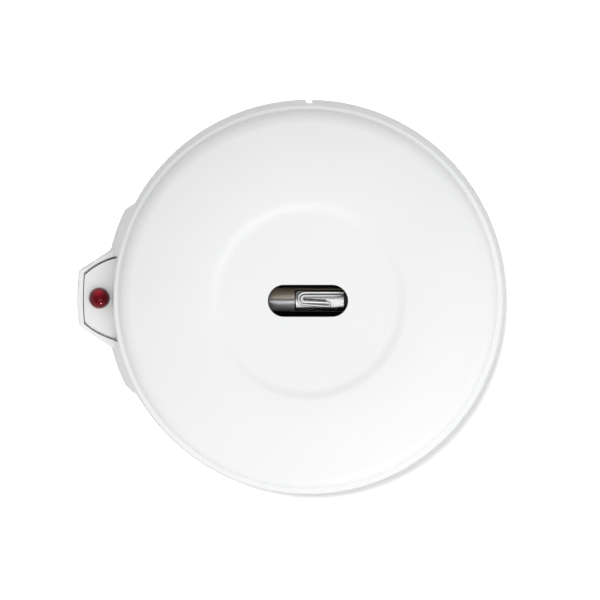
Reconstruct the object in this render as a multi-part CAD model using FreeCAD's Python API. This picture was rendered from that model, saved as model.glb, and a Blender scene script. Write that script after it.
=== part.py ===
import FreeCAD, Part
import math
import os

# Flame detector: a moulded base with its electronics, and a domed cover that pulls off along +Z.
# The back of the base lies on z = 0, the dome looks along +Z and the lamp tab points along -X.
# All sizes are in millimetres and all angles in degrees.

# Cover: side wall, ledge, dome and shallow centre recess
skirt_radius = 58.0
skirt_gap = 0.5
wall_draft = 1.6
rim_height = 18.0
rim_rounding = 0.45
ledge_width = 1.4
roll_width = 3.5
dome_rise = 8.0
dome_radius = 80.0
crest_radius = 28.9
recess_width = 3.3
recess_depth = 0.45
cover_wall = 2.0
window_length = 23.2
window_width = 9.3
notch_width = 2.2
notch_depth = 1.1
notch_height = 11.0
bead_depth = 0.45
bead_height = 1.0
bead_angle = 11.0
catch_clearance = 0.15

# Lamp tab of the cover: a frame with a slit round a tongue, seen from the front
frame_reach = 9.6
frame_bulge = 0.5
frame_tip_half = 8.1
frame_mid_reach = 3.2
frame_mid_half = 11.9
frame_root_half = 15.3
frame_root_inset = 2.1
frame_height = 7.3
tongue_reach = 7.65
tongue_bulge = 0.3
tongue_tip_half = 6.72
tongue_mid_reach = 2.9
tongue_mid_half = 9.95
tongue_root_half = 11.8
tongue_height = 7.0
tongue_thickness = 1.8
tip_gap = 0.25
side_gap = 0.75
edge_rounding = 0.6

# Shoulders of the cover: the side wall slopes further out on both sides of the tab
shoulder_reach = 1.74
shoulder_top = 16.8
shoulder_half_angle = 28.4
shoulder_chamfer_angle = 2.9
shoulder_hollow_start = 14.5
shoulder_hollow_end = 24.5

# Base: plate, inner wall and the floor under the lamp tab
base_thickness = 2.4
base_clearance = 0.5
tab_clearance = 0.3
inner_wall = 1.6
inner_wall_height = 3.6
inner_wall_clearance = 0.65
ridge_depth = 0.25
ridge_height = 1.2
ridge_angle = 9.0
pocket_depth = 0.8
pocket_inner_radius = 22.0
pocket_outer_radius = 44.0
pocket_angle = 64.0
screw_slot_spacing = 83.5
screw_slot_width = 4.4
screw_slot_length = 7.6
cable_offset = 27.5
cable_hole_radius = 7.4
cable_collar_wall = 1.2
cable_collar_height = 2.0

# Cable grommet
grommet_bore_radius = 5.5
grommet_flange = 1.0
grommet_inset = 0.6

# Main circuit board and its screws
board_lift = 2.6
board_thickness = 1.6
board_margin = 4.0
board_top_edge = 35.0
board_low_edge = 18.0
boss_radius = 3.2
screw_inset = 5.0
low_screw_angle = 10.5
high_screw_angle = 42.0
pilot_radius = 1.2
screw_hole_radius = 1.6
screw_head_radius = 2.8
screw_head_height = 1.9
screw_length = 5.2

# Ultraviolet tube
bulb_radius = 4.2
bulb_left = -18.0
bulb_length = 33.0
glass_wall = 0.7
bulb_end_radius = 1.6
window_to_glass = 3.3
pinch_length = 4.0
pinch_half_width = 2.8
pinch_half_height = 2.1
seal_gap = 0.02
mirror_thickness = 0.12
mirror_edge = -3.9
electrode_wire_radius = 0.3
anode_height = 1.3
anode_outer_high = 1.85
anode_outer_low = -1.45
anode_inner_high = 1.05
anode_inner_low = -0.75
anode_left = -1.0
anode_turn = 6.05
plate_left = -3.4
plate_length = 14.4
plate_half_width = 2.7
plate_crown = 0.7
plate_thickness = 0.25
plate_edge_drop = 0.4
plate_slot_left = -1.3
plate_slot_length = 7.0
plate_slot_width = 0.5
plate_slot_offset = -0.15
stem_offset = 1.6
stem_start = 9.0
lead_bend = 1.2
lead_reach = 3.2

# Tube holder and its soft bushes
holder_end_gap = 0.5
holder_half_width = 7.5
holder_wall = 1.3
holder_floor = 1.4
holder_rise = 3.5
left_saddle_x = -14.0
right_saddle_x = 12.6
saddle_thickness = 2.0
bush_thickness = 0.9
bush_length = 4.0
bush_clearance = 0.04

# Indicator lamp, its board and wires
lamp_radius = 3.0
lamp_tip_height = 10.7
lamp_flange_radius = 3.4
lamp_flange_height = 0.8
lamp_inset = 4.55
lamp_hole_gap = 0.15
lamp_lead_radius = 0.25
lamp_lead_spacing = 2.54
lamp_board_lift = 0.8
lamp_board_thickness = 1.0
lamp_board_length = 13.5
lamp_board_width = 10.0
lamp_board_tip_gap = 1.9
lamp_screw_spacing = 5.5
lamp_screw_radius = 0.8
lamp_screw_head_radius = 1.7
lamp_screw_head_height = 0.7
lamp_wire_radius = 0.5
lamp_wire_spacing = 2.6
lamp_wire_bend = 1.2
lamp_wire_height = 9.2
lamp_wire_inset = 2.4

# Terminal block
terminal_count = 6
terminal_pitch = 5.0
terminal_end_wall = 1.0
terminal_depth = 9.4
terminal_height = 9.0
terminal_hole_radius = 1.9
terminal_entry_width = 3.2
terminal_entry_height = 2.2
terminal_floor = 1.0
terminal_clamp_size = 2.6
terminal_clamp_thickness = 1.0
terminal_head_radius = 1.8
terminal_head_height = 1.4
terminal_shank_radius = 1.2
terminal_shank_length = 1.4

# Setting switch with sliding levers
lever_count = 4
lever_pitch = 2.54
setting_inset = 19.25
setting_y = -10.2
setting_end_wall = 1.5
setting_depth = 7.0
setting_height = 3.2
lever_slot_width = 1.5
lever_slot_length = 3.2
lever_slot_depth = 1.8
lever_width = 1.1
lever_length = 1.5
lever_stand = 0.9
lever_gap = 0.12

# Cover switch: the plunger is held down by a post inside the cover
cover_switch_inset = 15.25
cover_switch_y = 14.0
cover_switch_size = 6.4
cover_switch_height = 5.0
plunger_radius = 1.5
plunger_stand = 2.9
plunger_travel = 1.0
plunger_flange_radius = 2.0
plunger_flange_height = 0.8
plunger_gap = 0.1
switch_floor = 0.6
switch_roof = 0.5
spring_wire_radius = 0.15
spring_radius = 1.35
spring_turns = 3
post_radius = 2.2
post_gap = 0.1

# Components on the board
transformer_x = -9.0
transformer_y = 22.5
core_length = 13.0
core_width = 7.0
core_height = 12.0
core_window = 2.6
core_yoke = 2.2
winding_length = 12.4
winding_clearance = 0.1
relay_x = 11.0
relay_y = 25.0
relay_length = 19.0
relay_width = 10.0
relay_height = 9.5
relay_chamfer = 0.6
large_capacitor_inset = 20.75
large_capacitor_y = 22.0
large_capacitor_radius = 4.0
large_capacitor_height = 11.0
small_capacitor_inset = 21.25
small_capacitor_y = 12.5
small_capacitor_radius = 3.15
small_capacitor_height = 7.0
capacitor_rounding = 0.5
film_capacitor_inset = 12.75
film_capacitor_y = 13.0
film_capacitor_length = 12.5
film_capacitor_width = 5.0
film_capacitor_height = 9.5
absorber_inset = 21.75
absorber_y = -12.0
absorber_radius = 4.5
absorber_thickness = 3.4
absorber_lead_length = 1.6
chip_x = 7.0
chip_y = 13.0
chip_length = 10.2
chip_width = 5.4
chip_height = 1.6
chip_stand = 0.2
chip_pin_count = 8
chip_pin_pitch = 1.27
chip_pin_reach = 1.1
chip_pin_width = 0.45
chip_pin_thickness = 0.2
resistor_x = 16.0
resistor_y = 10.0
resistor_columns = 3
resistor_rows = 3
resistor_pitch_x = 3.2
resistor_pitch_y = 2.4
resistor_length = 2.0
resistor_width = 1.25
resistor_height = 0.5

# Worked out from the sizes above
rim_radius = skirt_radius - wall_draft
foot_radius = rim_radius - ledge_width
shoulder_radius = foot_radius - roll_width
dome_height = rim_height + dome_rise
recess_radius = crest_radius - recess_width
recess_floor = dome_height - recess_depth
recess_underside = recess_floor - cover_wall
skirt_inner = skirt_radius - cover_wall
rim_inner = rim_radius - cover_wall
base_radius = skirt_inner - base_clearance
inner_wall_top = base_thickness + inner_wall_height
wall_top_share = (inner_wall_top - skirt_gap) / (rim_height - skirt_gap)
inner_wall_outer = skirt_inner - wall_draft * wall_top_share - inner_wall_clearance
board_radius = inner_wall_outer - inner_wall - board_margin
board_bottom = base_thickness + board_lift
board_top = board_bottom + board_thickness
tube_axis = recess_underside - window_to_glass - bulb_radius
glass_inner = bulb_radius - glass_wall
lamp_x = -(skirt_radius + tongue_reach - lamp_inset)
lamp_board_top = base_thickness + lamp_board_lift + lamp_board_thickness
plunger_top = board_top + cover_switch_height + plunger_stand

# Places counted from the board's round edge
setting_x = board_radius - setting_inset
cover_switch_x = board_radius - cover_switch_inset
large_capacitor_x = large_capacitor_inset - board_radius
small_capacitor_x = small_capacitor_inset - board_radius
film_capacitor_x = film_capacitor_inset - board_radius
absorber_x = absorber_inset - board_radius

BEAD_ANGLES = (45.0, 135.0, 225.0, 315.0)
Z_AXIS = FreeCAD.Vector(0, 0, 1)
ORIGIN = FreeCAD.Vector(0, 0, 0)


def vec(x, y, z=0.0):
    return FreeCAD.Vector(x, y, z)


def polar(radius, angle):
    turn = math.radians(angle)
    return radius * math.cos(turn), radius * math.sin(turn)


def skirt_inner_at(height):
    """Inner radius of the cover's drafted side wall at a height."""
    share = (height - skirt_gap) / (rim_height - skirt_gap)
    return skirt_inner - wall_draft * share


def block(x, y, z, length, width, height):
    """A box centred on x and y that stands on z."""
    return Part.makeBox(length, width, height, vec(x - length / 2, y - width / 2, z))


def disc(x, y, z, radius, height):
    return Part.makeCylinder(radius, height, vec(x, y, z))


def tube_between(x, y, z, outer, inner, height):
    return disc(x, y, z, outer, height).cut(disc(x, y, z, inner, height))


def prism(wire, low, high):
    """A flat outline drawn at z = 0, as a solid between two heights."""
    outline = wire.copy()
    outline.translate(vec(0, 0, low))
    return Part.Face(outline).extrude(vec(0, 0, high - low))


def stadium(length, width, low, high, along_x=True):
    """A slot with round ends, centred on the Z axis."""
    radius = width / 2
    reach = length / 2 - radius
    middle = block(0, 0, low, 2 * reach, width, high - low)
    ends = [disc(side * reach, 0, low, radius, high - low) for side in (-1, 1)]
    slot = middle.fuse(ends).removeSplitter()
    if not along_x:
        slot.rotate(ORIGIN, Z_AXIS, 90)
    return slot


def moved(shape, x, y, z=0.0):
    copy = shape.copy()
    copy.translate(vec(x, y, z))
    return copy


def arc(first, middle, last):
    return Part.Arc(first, middle, last).toShape()


def line(first, last):
    return Part.makeLine(first, last)


def ring_of(points, centre, start, sweep):
    """A polygon of (radius, height) points turned round the Z axis from a start angle."""
    corners = [vec(r, 0, z) for r, z in points]
    face = Part.Face(Part.makePolygon(corners + corners[:1]))
    face.rotate(ORIGIN, Z_AXIS, start)
    ring = face.revolve(ORIGIN, Z_AXIS, sweep)
    ring.translate(centre)
    return ring


def rounded_path(points, radius):
    """Straight runs joined by tangent arcs of one radius."""
    edges = []
    start = points[0]
    for before, corner, after in zip(points, points[1:], points[2:]):
        into = (corner - before).normalize()
        out = (after - corner).normalize()
        half_turn = into.getAngle(out) / 2
        trim = radius * math.tan(half_turn)
        first = corner - into * trim
        last = corner + out * trim
        inward = (out - into).normalize()
        middle = corner + inward * (radius / math.cos(half_turn) - radius)
        edges += [line(start, first), arc(first, middle, last)]
        start = last
    edges.append(line(start, points[-1]))
    return edges


def wire_solid(edges, radius):
    """A round wire that follows joined edges."""
    path = Part.Wire(edges)
    start = path.OrderedVertexes[0].Point
    heading = path.OrderedEdges[0].tangentAt(path.OrderedEdges[0].FirstParameter)
    section = Part.Wire(Part.makeCircle(radius, start, heading))
    return path.makePipeShell([section], True, False)


def upright_edges(shape, low, high):
    """The straight vertical edges of a shape that span two heights."""
    found = []
    for edge in shape.Edges:
        box = edge.BoundBox
        thin = box.XLength < 1e-6 and box.YLength < 1e-6
        if thin and box.ZMin < low + 1e-6 and box.ZMax > high - 1e-6:
            found.append(edge)
    return found


def dome_profile_points():
    """Where the dome's curves meet, and the centre of the rolled edge that joins it to the ledge."""
    centre = vec(crest_radius, 0, dome_height - dome_radius)
    run = shoulder_radius - crest_radius
    drop = math.sqrt(dome_radius**2 - run**2)
    shoulder = vec(shoulder_radius, 0, centre.z + drop)
    foot = vec(foot_radius, 0, rim_height)
    inward = (centre - shoulder).normalize()
    chord = foot - shoulder
    roll_radius = chord.dot(chord) / (2 * chord.dot(inward))
    roll_centre = shoulder + inward * roll_radius
    return centre, shoulder, foot, roll_centre, roll_radius


def arc_about(centre, first, last, radius):
    """An arc round a centre from one direction to another, on a radius."""
    start = (first - centre).normalize() * radius + centre
    end = (last - centre).normalize() * radius + centre
    between = ((start - centre) + (end - centre)).normalize() * radius + centre
    return start, arc(start, between, end), end


def cover_outer():
    centre, shoulder, foot, roll_centre, roll_radius = dome_profile_points()
    skirt = vec(skirt_radius, 0, skirt_gap)
    rim = vec(rim_radius, 0, rim_height)
    crest = vec(crest_radius, 0, dome_height)
    floor_edge = vec(recess_radius, 0, recess_floor)
    edges = rounded_path([skirt, rim, foot], rim_rounding)
    edges.append(arc_about(roll_centre, foot, shoulder, roll_radius)[1])
    edges.append(arc_about(centre, shoulder, crest, dome_radius)[1])
    slope = 2 * math.atan(recess_depth / recess_width)
    bend = recess_width / 2 / math.sin(slope)
    middle = (crest + floor_edge) / 2
    across = vec(bend * math.sin(slope / 2), 0, 0)
    sagged = vec(0, 0, bend - bend * math.cos(slope / 2))
    edges.append(arc(crest, crest - across - sagged, middle))
    edges.append(arc(middle, floor_edge + across + sagged, floor_edge))
    top = vec(0, 0, recess_floor)
    low = vec(0, 0, skirt_gap)
    edges += [line(floor_edge, top), line(top, low), line(low, skirt)]
    return Part.Face(Part.Wire(edges)).revolve(ORIGIN, Z_AXIS, 360)


def cover_inner():
    centre, shoulder, foot, roll_centre, roll_radius = dome_profile_points()
    ceiling = rim_height - cover_wall
    skirt = vec(skirt_inner, 0, skirt_gap)
    rim = vec(rim_inner, 0, ceiling)
    crest = vec(crest_radius, 0, dome_height)
    floor_edge = vec(recess_radius, 0, recess_underside)
    start, roll, end = arc_about(roll_centre, foot, shoulder, roll_radius - cover_wall)
    corner = vec(start.x, 0, ceiling)
    inner_start, dome, inner_end = arc_about(centre, shoulder, crest, dome_radius - cover_wall)
    top = vec(0, 0, recess_underside)
    low = vec(0, 0, skirt_gap)
    edges = [line(skirt, rim), line(rim, corner), line(corner, start), roll, dome]
    edges += [line(inner_end, floor_edge), line(floor_edge, top), line(top, low), line(low, skirt)]
    return Part.Face(Part.Wire(edges)).revolve(ORIGIN, Z_AXIS, 360)


def tab_plan(reach, bulge, tip_half, mid_reach, mid_half, root_half, root_x):
    """Outline of the tab from the front: a bulged tip and two bowed sides that widen inwards."""
    tip_x = -(skirt_radius + reach)
    shoulder_x = tip_x + bulge
    mid_x = -(skirt_radius + mid_reach)
    high_tip = vec(shoulder_x, tip_half)
    low_tip = vec(shoulder_x, -tip_half)
    high_root = vec(root_x, root_half)
    low_root = vec(root_x, -root_half)
    edges = [
        arc(low_tip, vec(tip_x, 0), high_tip),
        arc(high_tip, vec(mid_x, mid_half), high_root),
        line(high_root, low_root),
        arc(low_root, vec(mid_x, -mid_half), low_tip),
    ]
    return Part.Wire(edges)


def tongue_plan(tip_growth=0.0, side_growth=0.0):
    """The tongue's outline, the opening round it or the base's floor under it."""
    return tab_plan(
        tongue_reach + tip_growth,
        tongue_bulge,
        tongue_tip_half + side_growth,
        tongue_mid_reach,
        tongue_mid_half + side_growth,
        tongue_root_half + side_growth,
        -tab_root(),
    )


def tab_root():
    """Distance from the middle to the tongue's root, inside the cover's side wall."""
    return (skirt_inner_at(tongue_height) + skirt_inner) / 2


def tab_passage(half_width, low, high):
    """A block from the tongue's root inwards, past the base's inner wall."""
    inner = inner_wall_outer - 2 * inner_wall
    length = tab_root() - inner
    return block(-(inner + length / 2), 0, low, length, 2 * half_width, high - low)


def tab_opening(low, high):
    """The space inside the tab's frame."""
    return prism(tongue_plan(tip_gap, side_gap), low, high)


def rounded_tip(solid, low, high, radius):
    """Rounds the two outer upright corners of a tab solid."""
    corners = [e for e in upright_edges(solid, low, high) if e.BoundBox.XMax < -skirt_radius]
    return solid.makeFillet(radius, corners)


def cover_shell():
    tongue_under = tongue_height - tongue_thickness
    mouth = tongue_root_half + side_gap
    side = shoulders().fuse(tab_frame())
    side = side.cut([tab_opening(0, rim_height), tab_passage(mouth, 0, rim_height)])
    shell = cover_outer().cut(cover_inner())
    shell = shell.cut(tab_opening(0, tongue_under).fuse(tab_passage(mouth, 0, tongue_under)))
    shell = shell.fuse(side.cut(cover_inner()))
    for start in (180 - shoulder_hollow_end, 180 + shoulder_hollow_start):
        shell = shell.cut(shoulder_hollow(start))
    tongue = prism(tongue_plan(), tongue_under, tongue_height)
    shell = shell.fuse(rounded_tip(tongue, tongue_under, tongue_height, edge_rounding))
    lamp_hole = disc(lamp_x, 0, 0, lamp_radius + lamp_hole_gap, frame_height)
    shell = shell.cut(lamp_hole)
    shell = shell.cut(stadium(window_length, window_width, 0, dome_height + cover_wall))
    notch_floor = skirt_radius - notch_depth
    for side in (-1, 1):
        middle = side * (notch_floor + cover_wall / 2)
        shell = shell.cut(block(0, middle, 0, notch_width, cover_wall, notch_height))
    for angle in BEAD_ANGLES:
        shell = shell.fuse(cover_bead(angle))
    post_bottom = plunger_top + post_gap
    post_top = cover_height_inside(math.hypot(cover_switch_x, cover_switch_y)) + cover_wall / 2
    post = disc(cover_switch_x, cover_switch_y, post_bottom, post_radius, post_top - post_bottom)
    return shell.fuse(post).removeSplitter()


def cover_height_inside(radius):
    """Height of the dome's inner face over a point between its crest and its shoulder."""
    run = max(radius - crest_radius, 0.0)
    inside = dome_radius - cover_wall
    return dome_height - dome_radius + math.sqrt(inside**2 - run**2)


def ridge_top():
    return inner_wall_top - ridge_height / 4


def cover_bead(angle):
    """A snap bead on the inside of the side wall, just below a ridge of the base."""
    high = ridge_top() - ridge_height - catch_clearance
    low = high - bead_height
    ridge = inner_wall_outer + ridge_depth
    inner = ridge + catch_clearance
    outer_low = skirt_inner_at(low) + cover_wall / 2
    points = [
        (inner + bead_depth, low - bead_depth / 2),
        (inner, low + bead_depth / 2),
        (inner, high),
        (outer_low, high),
        (outer_low, low - bead_depth / 2),
    ]
    return ring_of(points, ORIGIN, angle - bead_angle / 2, bead_angle)


def board_screw_places():
    radius = board_radius - screw_inset
    angles = (-low_screw_angle, high_screw_angle, 180 - high_screw_angle, 180 + low_screw_angle)
    return [polar(radius, angle) for angle in angles]


def shoulders():
    """A wedge round the side wall on both sides of the tab, with chamfered ends."""
    outer = skirt_radius + shoulder_reach
    inside = rim_radius - rim_rounding
    meeting = skirt_inner_at(shoulder_top) + cover_wall
    points = [(inside, skirt_gap), (outer, skirt_gap), (meeting, shoulder_top), (inside, shoulder_top)]
    wall = ring_of(points, ORIGIN, 180 - shoulder_half_angle, 2 * shoulder_half_angle)
    for side in (-1, 1):
        near_x, near_y = polar(outer, 180 + side * (shoulder_half_angle - shoulder_chamfer_angle))
        far_x, far_y = polar(skirt_radius, 180 + side * shoulder_half_angle)
        near = vec(near_x, near_y)
        far = vec(far_x, far_y)
        along = far - near
        out = vec(near_x, near_y).normalize() * along.Length * 2
        first = near - along
        last = far + along
        corners = [first, last, last + out, first + out, first]
        wall = wall.cut(prism(Part.makePolygon(corners), 0, rim_height))
    return wall


def shoulder_hollow(start):
    """The space behind a shoulder, which keeps its wall as thick as the cover's."""
    outer = skirt_inner + shoulder_reach
    inner = skirt_inner_at(shoulder_top) - cover_wall
    top = shoulder_top - cover_wall
    meeting = skirt_inner_at(shoulder_top)
    points = [(inner, 0), (outer, 0), (outer, skirt_gap), (meeting, top), (inner, top)]
    return ring_of(points, ORIGIN, start, shoulder_hollow_end - shoulder_hollow_start)


def tab_frame():
    """The frame of the lamp tab, still solid inside."""
    root = -(skirt_radius - frame_root_inset)
    plan = tab_plan(
        frame_reach,
        frame_bulge,
        frame_tip_half,
        frame_mid_reach,
        frame_mid_half,
        frame_root_half,
        root,
    )
    frame = prism(plan, skirt_gap, frame_height)
    uprights = upright_edges(frame, skirt_gap, frame_height)
    corners = [e for e in uprights if e.BoundBox.XMax < -skirt_radius - shoulder_reach]
    frame = frame.makeFillet(2 * edge_rounding, corners)
    top_edges = []
    for edge in frame.Edges:
        box = edge.BoundBox
        if box.ZMin > frame_height - 1e-6 and box.XMin < root - 1e-3:
            top_edges.append(edge)
    return frame.makeFillet(edge_rounding, top_edges)


def base_plate():
    body = disc(0, 0, 0, base_radius, base_thickness)
    tab = prism(tongue_plan(tip_gap - tab_clearance, side_gap - tab_clearance), 0, base_thickness)
    tab_half = tongue_root_half + side_gap - tab_clearance
    body = body.fuse([tab, tab_passage(tab_half, 0, base_thickness)])
    wall_inner = inner_wall_outer - inner_wall
    wall = tube_between(0, 0, base_thickness, inner_wall_outer, wall_inner, inner_wall_height)
    body = body.fuse(wall)
    for angle in BEAD_ANGLES:
        body = body.fuse(base_ridge(angle))
    mouth = tongue_root_half + side_gap
    body = body.cut(tab_passage(mouth, base_thickness, frame_height))
    collar_radius = cable_hole_radius + cable_collar_wall
    body = body.fuse(disc(0, -cable_offset, 0, collar_radius, base_thickness + cable_collar_height))
    body = body.cut(disc(0, -cable_offset, 0, cable_hole_radius, board_top))
    slot = stadium(screw_slot_length, screw_slot_width, 0, base_thickness, along_x=False)
    for side in (-1, 1):
        body = body.cut(moved(slot, 0, side * screw_slot_spacing / 2))
    for middle in (0, 180):
        points = [
            (pocket_inner_radius, 0),
            (pocket_outer_radius, 0),
            (pocket_outer_radius, pocket_depth),
            (pocket_inner_radius, pocket_depth),
        ]
        body = body.cut(ring_of(points, ORIGIN, middle - pocket_angle / 2, pocket_angle))
    for x, y in board_screw_places():
        body = body.fuse(disc(x, y, pocket_depth, boss_radius, board_bottom - pocket_depth))
        body = body.cut(disc(x, y, board_top - screw_length - 1, pilot_radius, screw_length))
    for x, y in lamp_board_supports():
        body = body.fuse(disc(x, y, base_thickness, lamp_screw_head_radius, lamp_board_lift))
    body = body.cut(lamp_screw_shank(lamp_screw_radius + plunger_gap))
    return body.removeSplitter()


def base_ridge(angle):
    high = ridge_top()
    low = high - ridge_height
    outer = inner_wall_outer
    points = [
        (outer - inner_wall / 2, low),
        (outer + ridge_depth, low),
        (outer + ridge_depth, low + ridge_height / 3),
        (outer, high),
        (outer - inner_wall / 2, high),
    ]
    return ring_of(points, ORIGIN, angle - ridge_angle / 2, ridge_angle)


def cable_grommet():
    collar_top = base_thickness + cable_collar_height
    sleeve = disc(0, -cable_offset, grommet_inset, cable_hole_radius, collar_top - grommet_inset)
    flange_radius = cable_hole_radius + cable_collar_wall
    flange = disc(0, -cable_offset, collar_top, flange_radius, grommet_flange)
    ring = sleeve.fuse(flange)
    top = collar_top + grommet_flange
    rounded = [e for e in ring.Edges if e.BoundBox.ZMin > top - 1e-6]
    ring = ring.makeFillet(grommet_flange / 2, rounded)
    return ring.cut(disc(0, -cable_offset, 0, grommet_bore_radius, top + 1))


def main_board():
    height = board_top_edge + board_low_edge
    middle = (board_top_edge - board_low_edge) / 2
    board = disc(0, 0, board_bottom, board_radius, board_thickness)
    board = board.common(block(0, middle, board_bottom, 2 * skirt_radius, height, board_thickness))
    for x, y in board_screw_places():
        board = board.cut(disc(x, y, board_bottom, screw_hole_radius, board_thickness))
    lead_hole = electrode_wire_radius + bush_clearance
    for y in (anode_outer_high, -stem_offset):
        board = board.cut(disc(lead_x(), y, board_bottom, lead_hole, board_thickness))
    return board


def cross_recess(x, y, top, radius, depth):
    """A cross-shaped driver recess cut from the top of a screw head."""
    blade = radius / 4
    first = block(x, y, top - depth, 1.3 * radius, blade, depth)
    second = block(x, y, top - depth, blade, 1.3 * radius, depth)
    return first.fuse(second)


def pan_screw(x, y, seat, head_radius, head_height, shank_radius, length):
    head = disc(x, y, seat, head_radius, head_height)
    top = seat + head_height
    crown = [e for e in head.Edges if e.BoundBox.ZMin > top - 1e-6]
    head = head.makeFillet(0.6 * head_height, crown)
    shank = disc(x, y, seat - length, shank_radius, length)
    return head.fuse(shank).cut(cross_recess(x, y, top, head_radius, head_height / 2))


def board_screws():
    shank = pilot_radius - bush_clearance
    return [
        pan_screw(x, y, board_top, screw_head_radius, screw_head_height, shank, screw_length)
        for x, y in board_screw_places()
    ]


def turned(points_and_arcs):
    """A closed outline of edges in the XZ plane turned round the tube's own axis."""
    face = Part.Face(Part.Wire(points_and_arcs))
    solid = face.revolve(ORIGIN, vec(1, 0, 0), 360)
    return moved(solid, 0, 0, tube_axis)


def capsule(radius, left, right, end_radius):
    """A solid of round section along X with a domed left end and a rounded right end."""
    crown = vec(left, 0, 0)
    dome_end = vec(left + radius, 0, radius)
    diagonal = radius * math.sqrt(0.5)
    over = vec(left + radius - diagonal, 0, diagonal)
    bend_start = vec(right - end_radius, 0, radius)
    bend_end = vec(right, 0, radius - end_radius)
    bend = end_radius * math.sqrt(0.5)
    bend_middle = vec(right - end_radius + bend, 0, radius - end_radius + bend)
    edges = [
        arc(crown, over, dome_end),
        line(dome_end, bend_start),
        arc(bend_start, bend_middle, bend_end),
        line(bend_end, vec(right, 0, 0)),
        line(vec(right, 0, 0), crown),
    ]
    return turned(edges)


def bulb_right():
    return bulb_left + bulb_length


def lead_x():
    return bulb_right() + pinch_length + lead_reach


def tube_bulb():
    right = bulb_right()
    outer = capsule(bulb_radius, bulb_left, right, bulb_end_radius)
    pinch_width = 2 * pinch_half_width
    pinch_height = 2 * pinch_half_height
    length = pinch_length + bulb_end_radius
    pinch = block(
        right + pinch_length - length / 2,
        0,
        tube_axis - pinch_half_height,
        length,
        pinch_width,
        pinch_height,
    )
    inner_end_radius = bulb_end_radius - glass_wall
    inner = capsule(glass_inner, bulb_left + glass_wall, right - glass_wall, inner_end_radius)
    glass = outer.fuse(pinch).cut(inner)
    hole = electrode_wire_radius + seal_gap
    hole_start = right - bulb_end_radius
    through = 3 * pinch_length
    blind = anode_seal_end() + seal_gap - hole_start
    seals = (
        (anode_outer_high, anode_height, through),
        (anode_inner_high, anode_height, blind),
        (-stem_offset, stem_height(), through),
    )
    for y, z, depth in seals:
        start = vec(hole_start, y, tube_axis + z)
        glass = glass.cut(Part.makeCylinder(hole, depth, start, vec(1, 0, 0)))
    return glass.removeSplitter()


def anode_seal_end():
    """Where the anode's second end stops inside the pinch."""
    return bulb_right() + pinch_length / 2


def tube_mirror():
    """The metallic coating inside the left half of the bulb."""
    outer = glass_inner - seal_gap
    left = bulb_left + bulb_radius
    start = vec(left, 0, tube_axis)
    sleeve = Part.makeCylinder(outer, mirror_edge - left, start, vec(1, 0, 0))
    bore = Part.makeCylinder(outer - mirror_thickness, mirror_edge - left, start, vec(1, 0, 0))
    return sleeve.cut(bore)


def half_loop(x, start_y, end_y, side, z):
    """A half circle at the left (-1) or right (+1) end of the wire loop, from one run to another."""
    radius = abs(end_y - start_y) / 2
    middle = (start_y + end_y) / 2
    return arc(vec(x, start_y, z), vec(x + side * radius, middle, z), vec(x, end_y, z))


def anode_wire():
    """One wire: up from the board, round two nested half loops, and back into the pinch."""
    z = tube_axis + anode_height
    high = anode_outer_high
    low = anode_outer_low
    inner_low = anode_inner_low
    inner_high = anode_inner_high
    rise = [vec(lead_x(), high, board_bottom), vec(lead_x(), high, z), vec(anode_left, high, z)]
    edges = rounded_path(rise, lead_bend)
    edges.append(half_loop(anode_left, high, low, -1, z))
    edges.append(line(vec(anode_left, low, z), vec(anode_turn, low, z)))
    edges.append(half_loop(anode_turn, low, inner_low, 1, z))
    edges.append(line(vec(anode_turn, inner_low, z), vec(anode_left, inner_low, z)))
    edges.append(half_loop(anode_left, inner_low, inner_high, -1, z))
    edges.append(line(vec(anode_left, inner_high, z), vec(anode_seal_end(), inner_high, z)))
    return wire_solid(edges, electrode_wire_radius)


def plate_curve_radius():
    return (plate_half_width**2 + plate_crown**2) / (2 * plate_crown)


def stem_height():
    """Height of the cathode's stem from the tube's axis, welded under the bowed plate."""
    curve = plate_curve_radius()
    sag = curve - math.sqrt(curve**2 - stem_offset**2)
    under = plate_crown - plate_edge_drop - sag - plate_thickness
    return under - 0.9 * electrode_wire_radius


def cathode_plate():
    curve = plate_curve_radius()
    axis_height = tube_axis - plate_edge_drop + plate_crown - curve
    start = vec(plate_left, 0, axis_height)
    along = vec(1, 0, 0)
    plate = Part.makeCylinder(curve, plate_length, start, along)
    plate = plate.cut(Part.makeCylinder(curve - plate_thickness, plate_length, start, along))
    middle = plate_left + plate_length / 2
    keep_low = tube_axis - plate_edge_drop - plate_thickness
    plate = plate.common(block(middle, 0, keep_low, plate_length, 2 * plate_half_width, curve))
    slot_middle = plate_slot_left + plate_slot_length / 2
    slot = block(slot_middle, plate_slot_offset, keep_low, plate_slot_length, plate_slot_width, curve)
    plate = plate.cut(slot)
    z = tube_axis + stem_height()
    path = [
        vec(stem_start, -stem_offset, z),
        vec(lead_x(), -stem_offset, z),
        vec(lead_x(), -stem_offset, board_bottom),
    ]
    stem = wire_solid(rounded_path(path, lead_bend), electrode_wire_radius)
    return plate.fuse(stem)


def tube_holder():
    """A black trough open at the top and at the right end, with a saddle near each end of the bulb."""
    width = 2 * holder_half_width
    height = tube_axis + holder_rise - board_top
    left = bulb_left - holder_end_gap - holder_wall
    length = bulb_right() + pinch_length - left
    middle = left + length / 2
    trough = block(middle, 0, board_top, length, width, height)
    clear_width = width - 2 * holder_wall
    floor = board_top + holder_floor
    hollow = block(middle + holder_wall, 0, floor, length, clear_width, height)
    trough = trough.cut(hollow)
    saddle_height = tube_axis - floor
    groove_radius = bulb_radius + bush_thickness + 2 * bush_clearance
    for x in (left_saddle_x, right_saddle_x):
        saddle = block(x, 0, floor, saddle_thickness, clear_width, saddle_height)
        start = vec(x - saddle_thickness, 0, tube_axis)
        groove = Part.makeCylinder(groove_radius, 2 * saddle_thickness, start, vec(1, 0, 0))
        trough = trough.fuse(saddle.cut(groove))
    return trough.removeSplitter()


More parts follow.
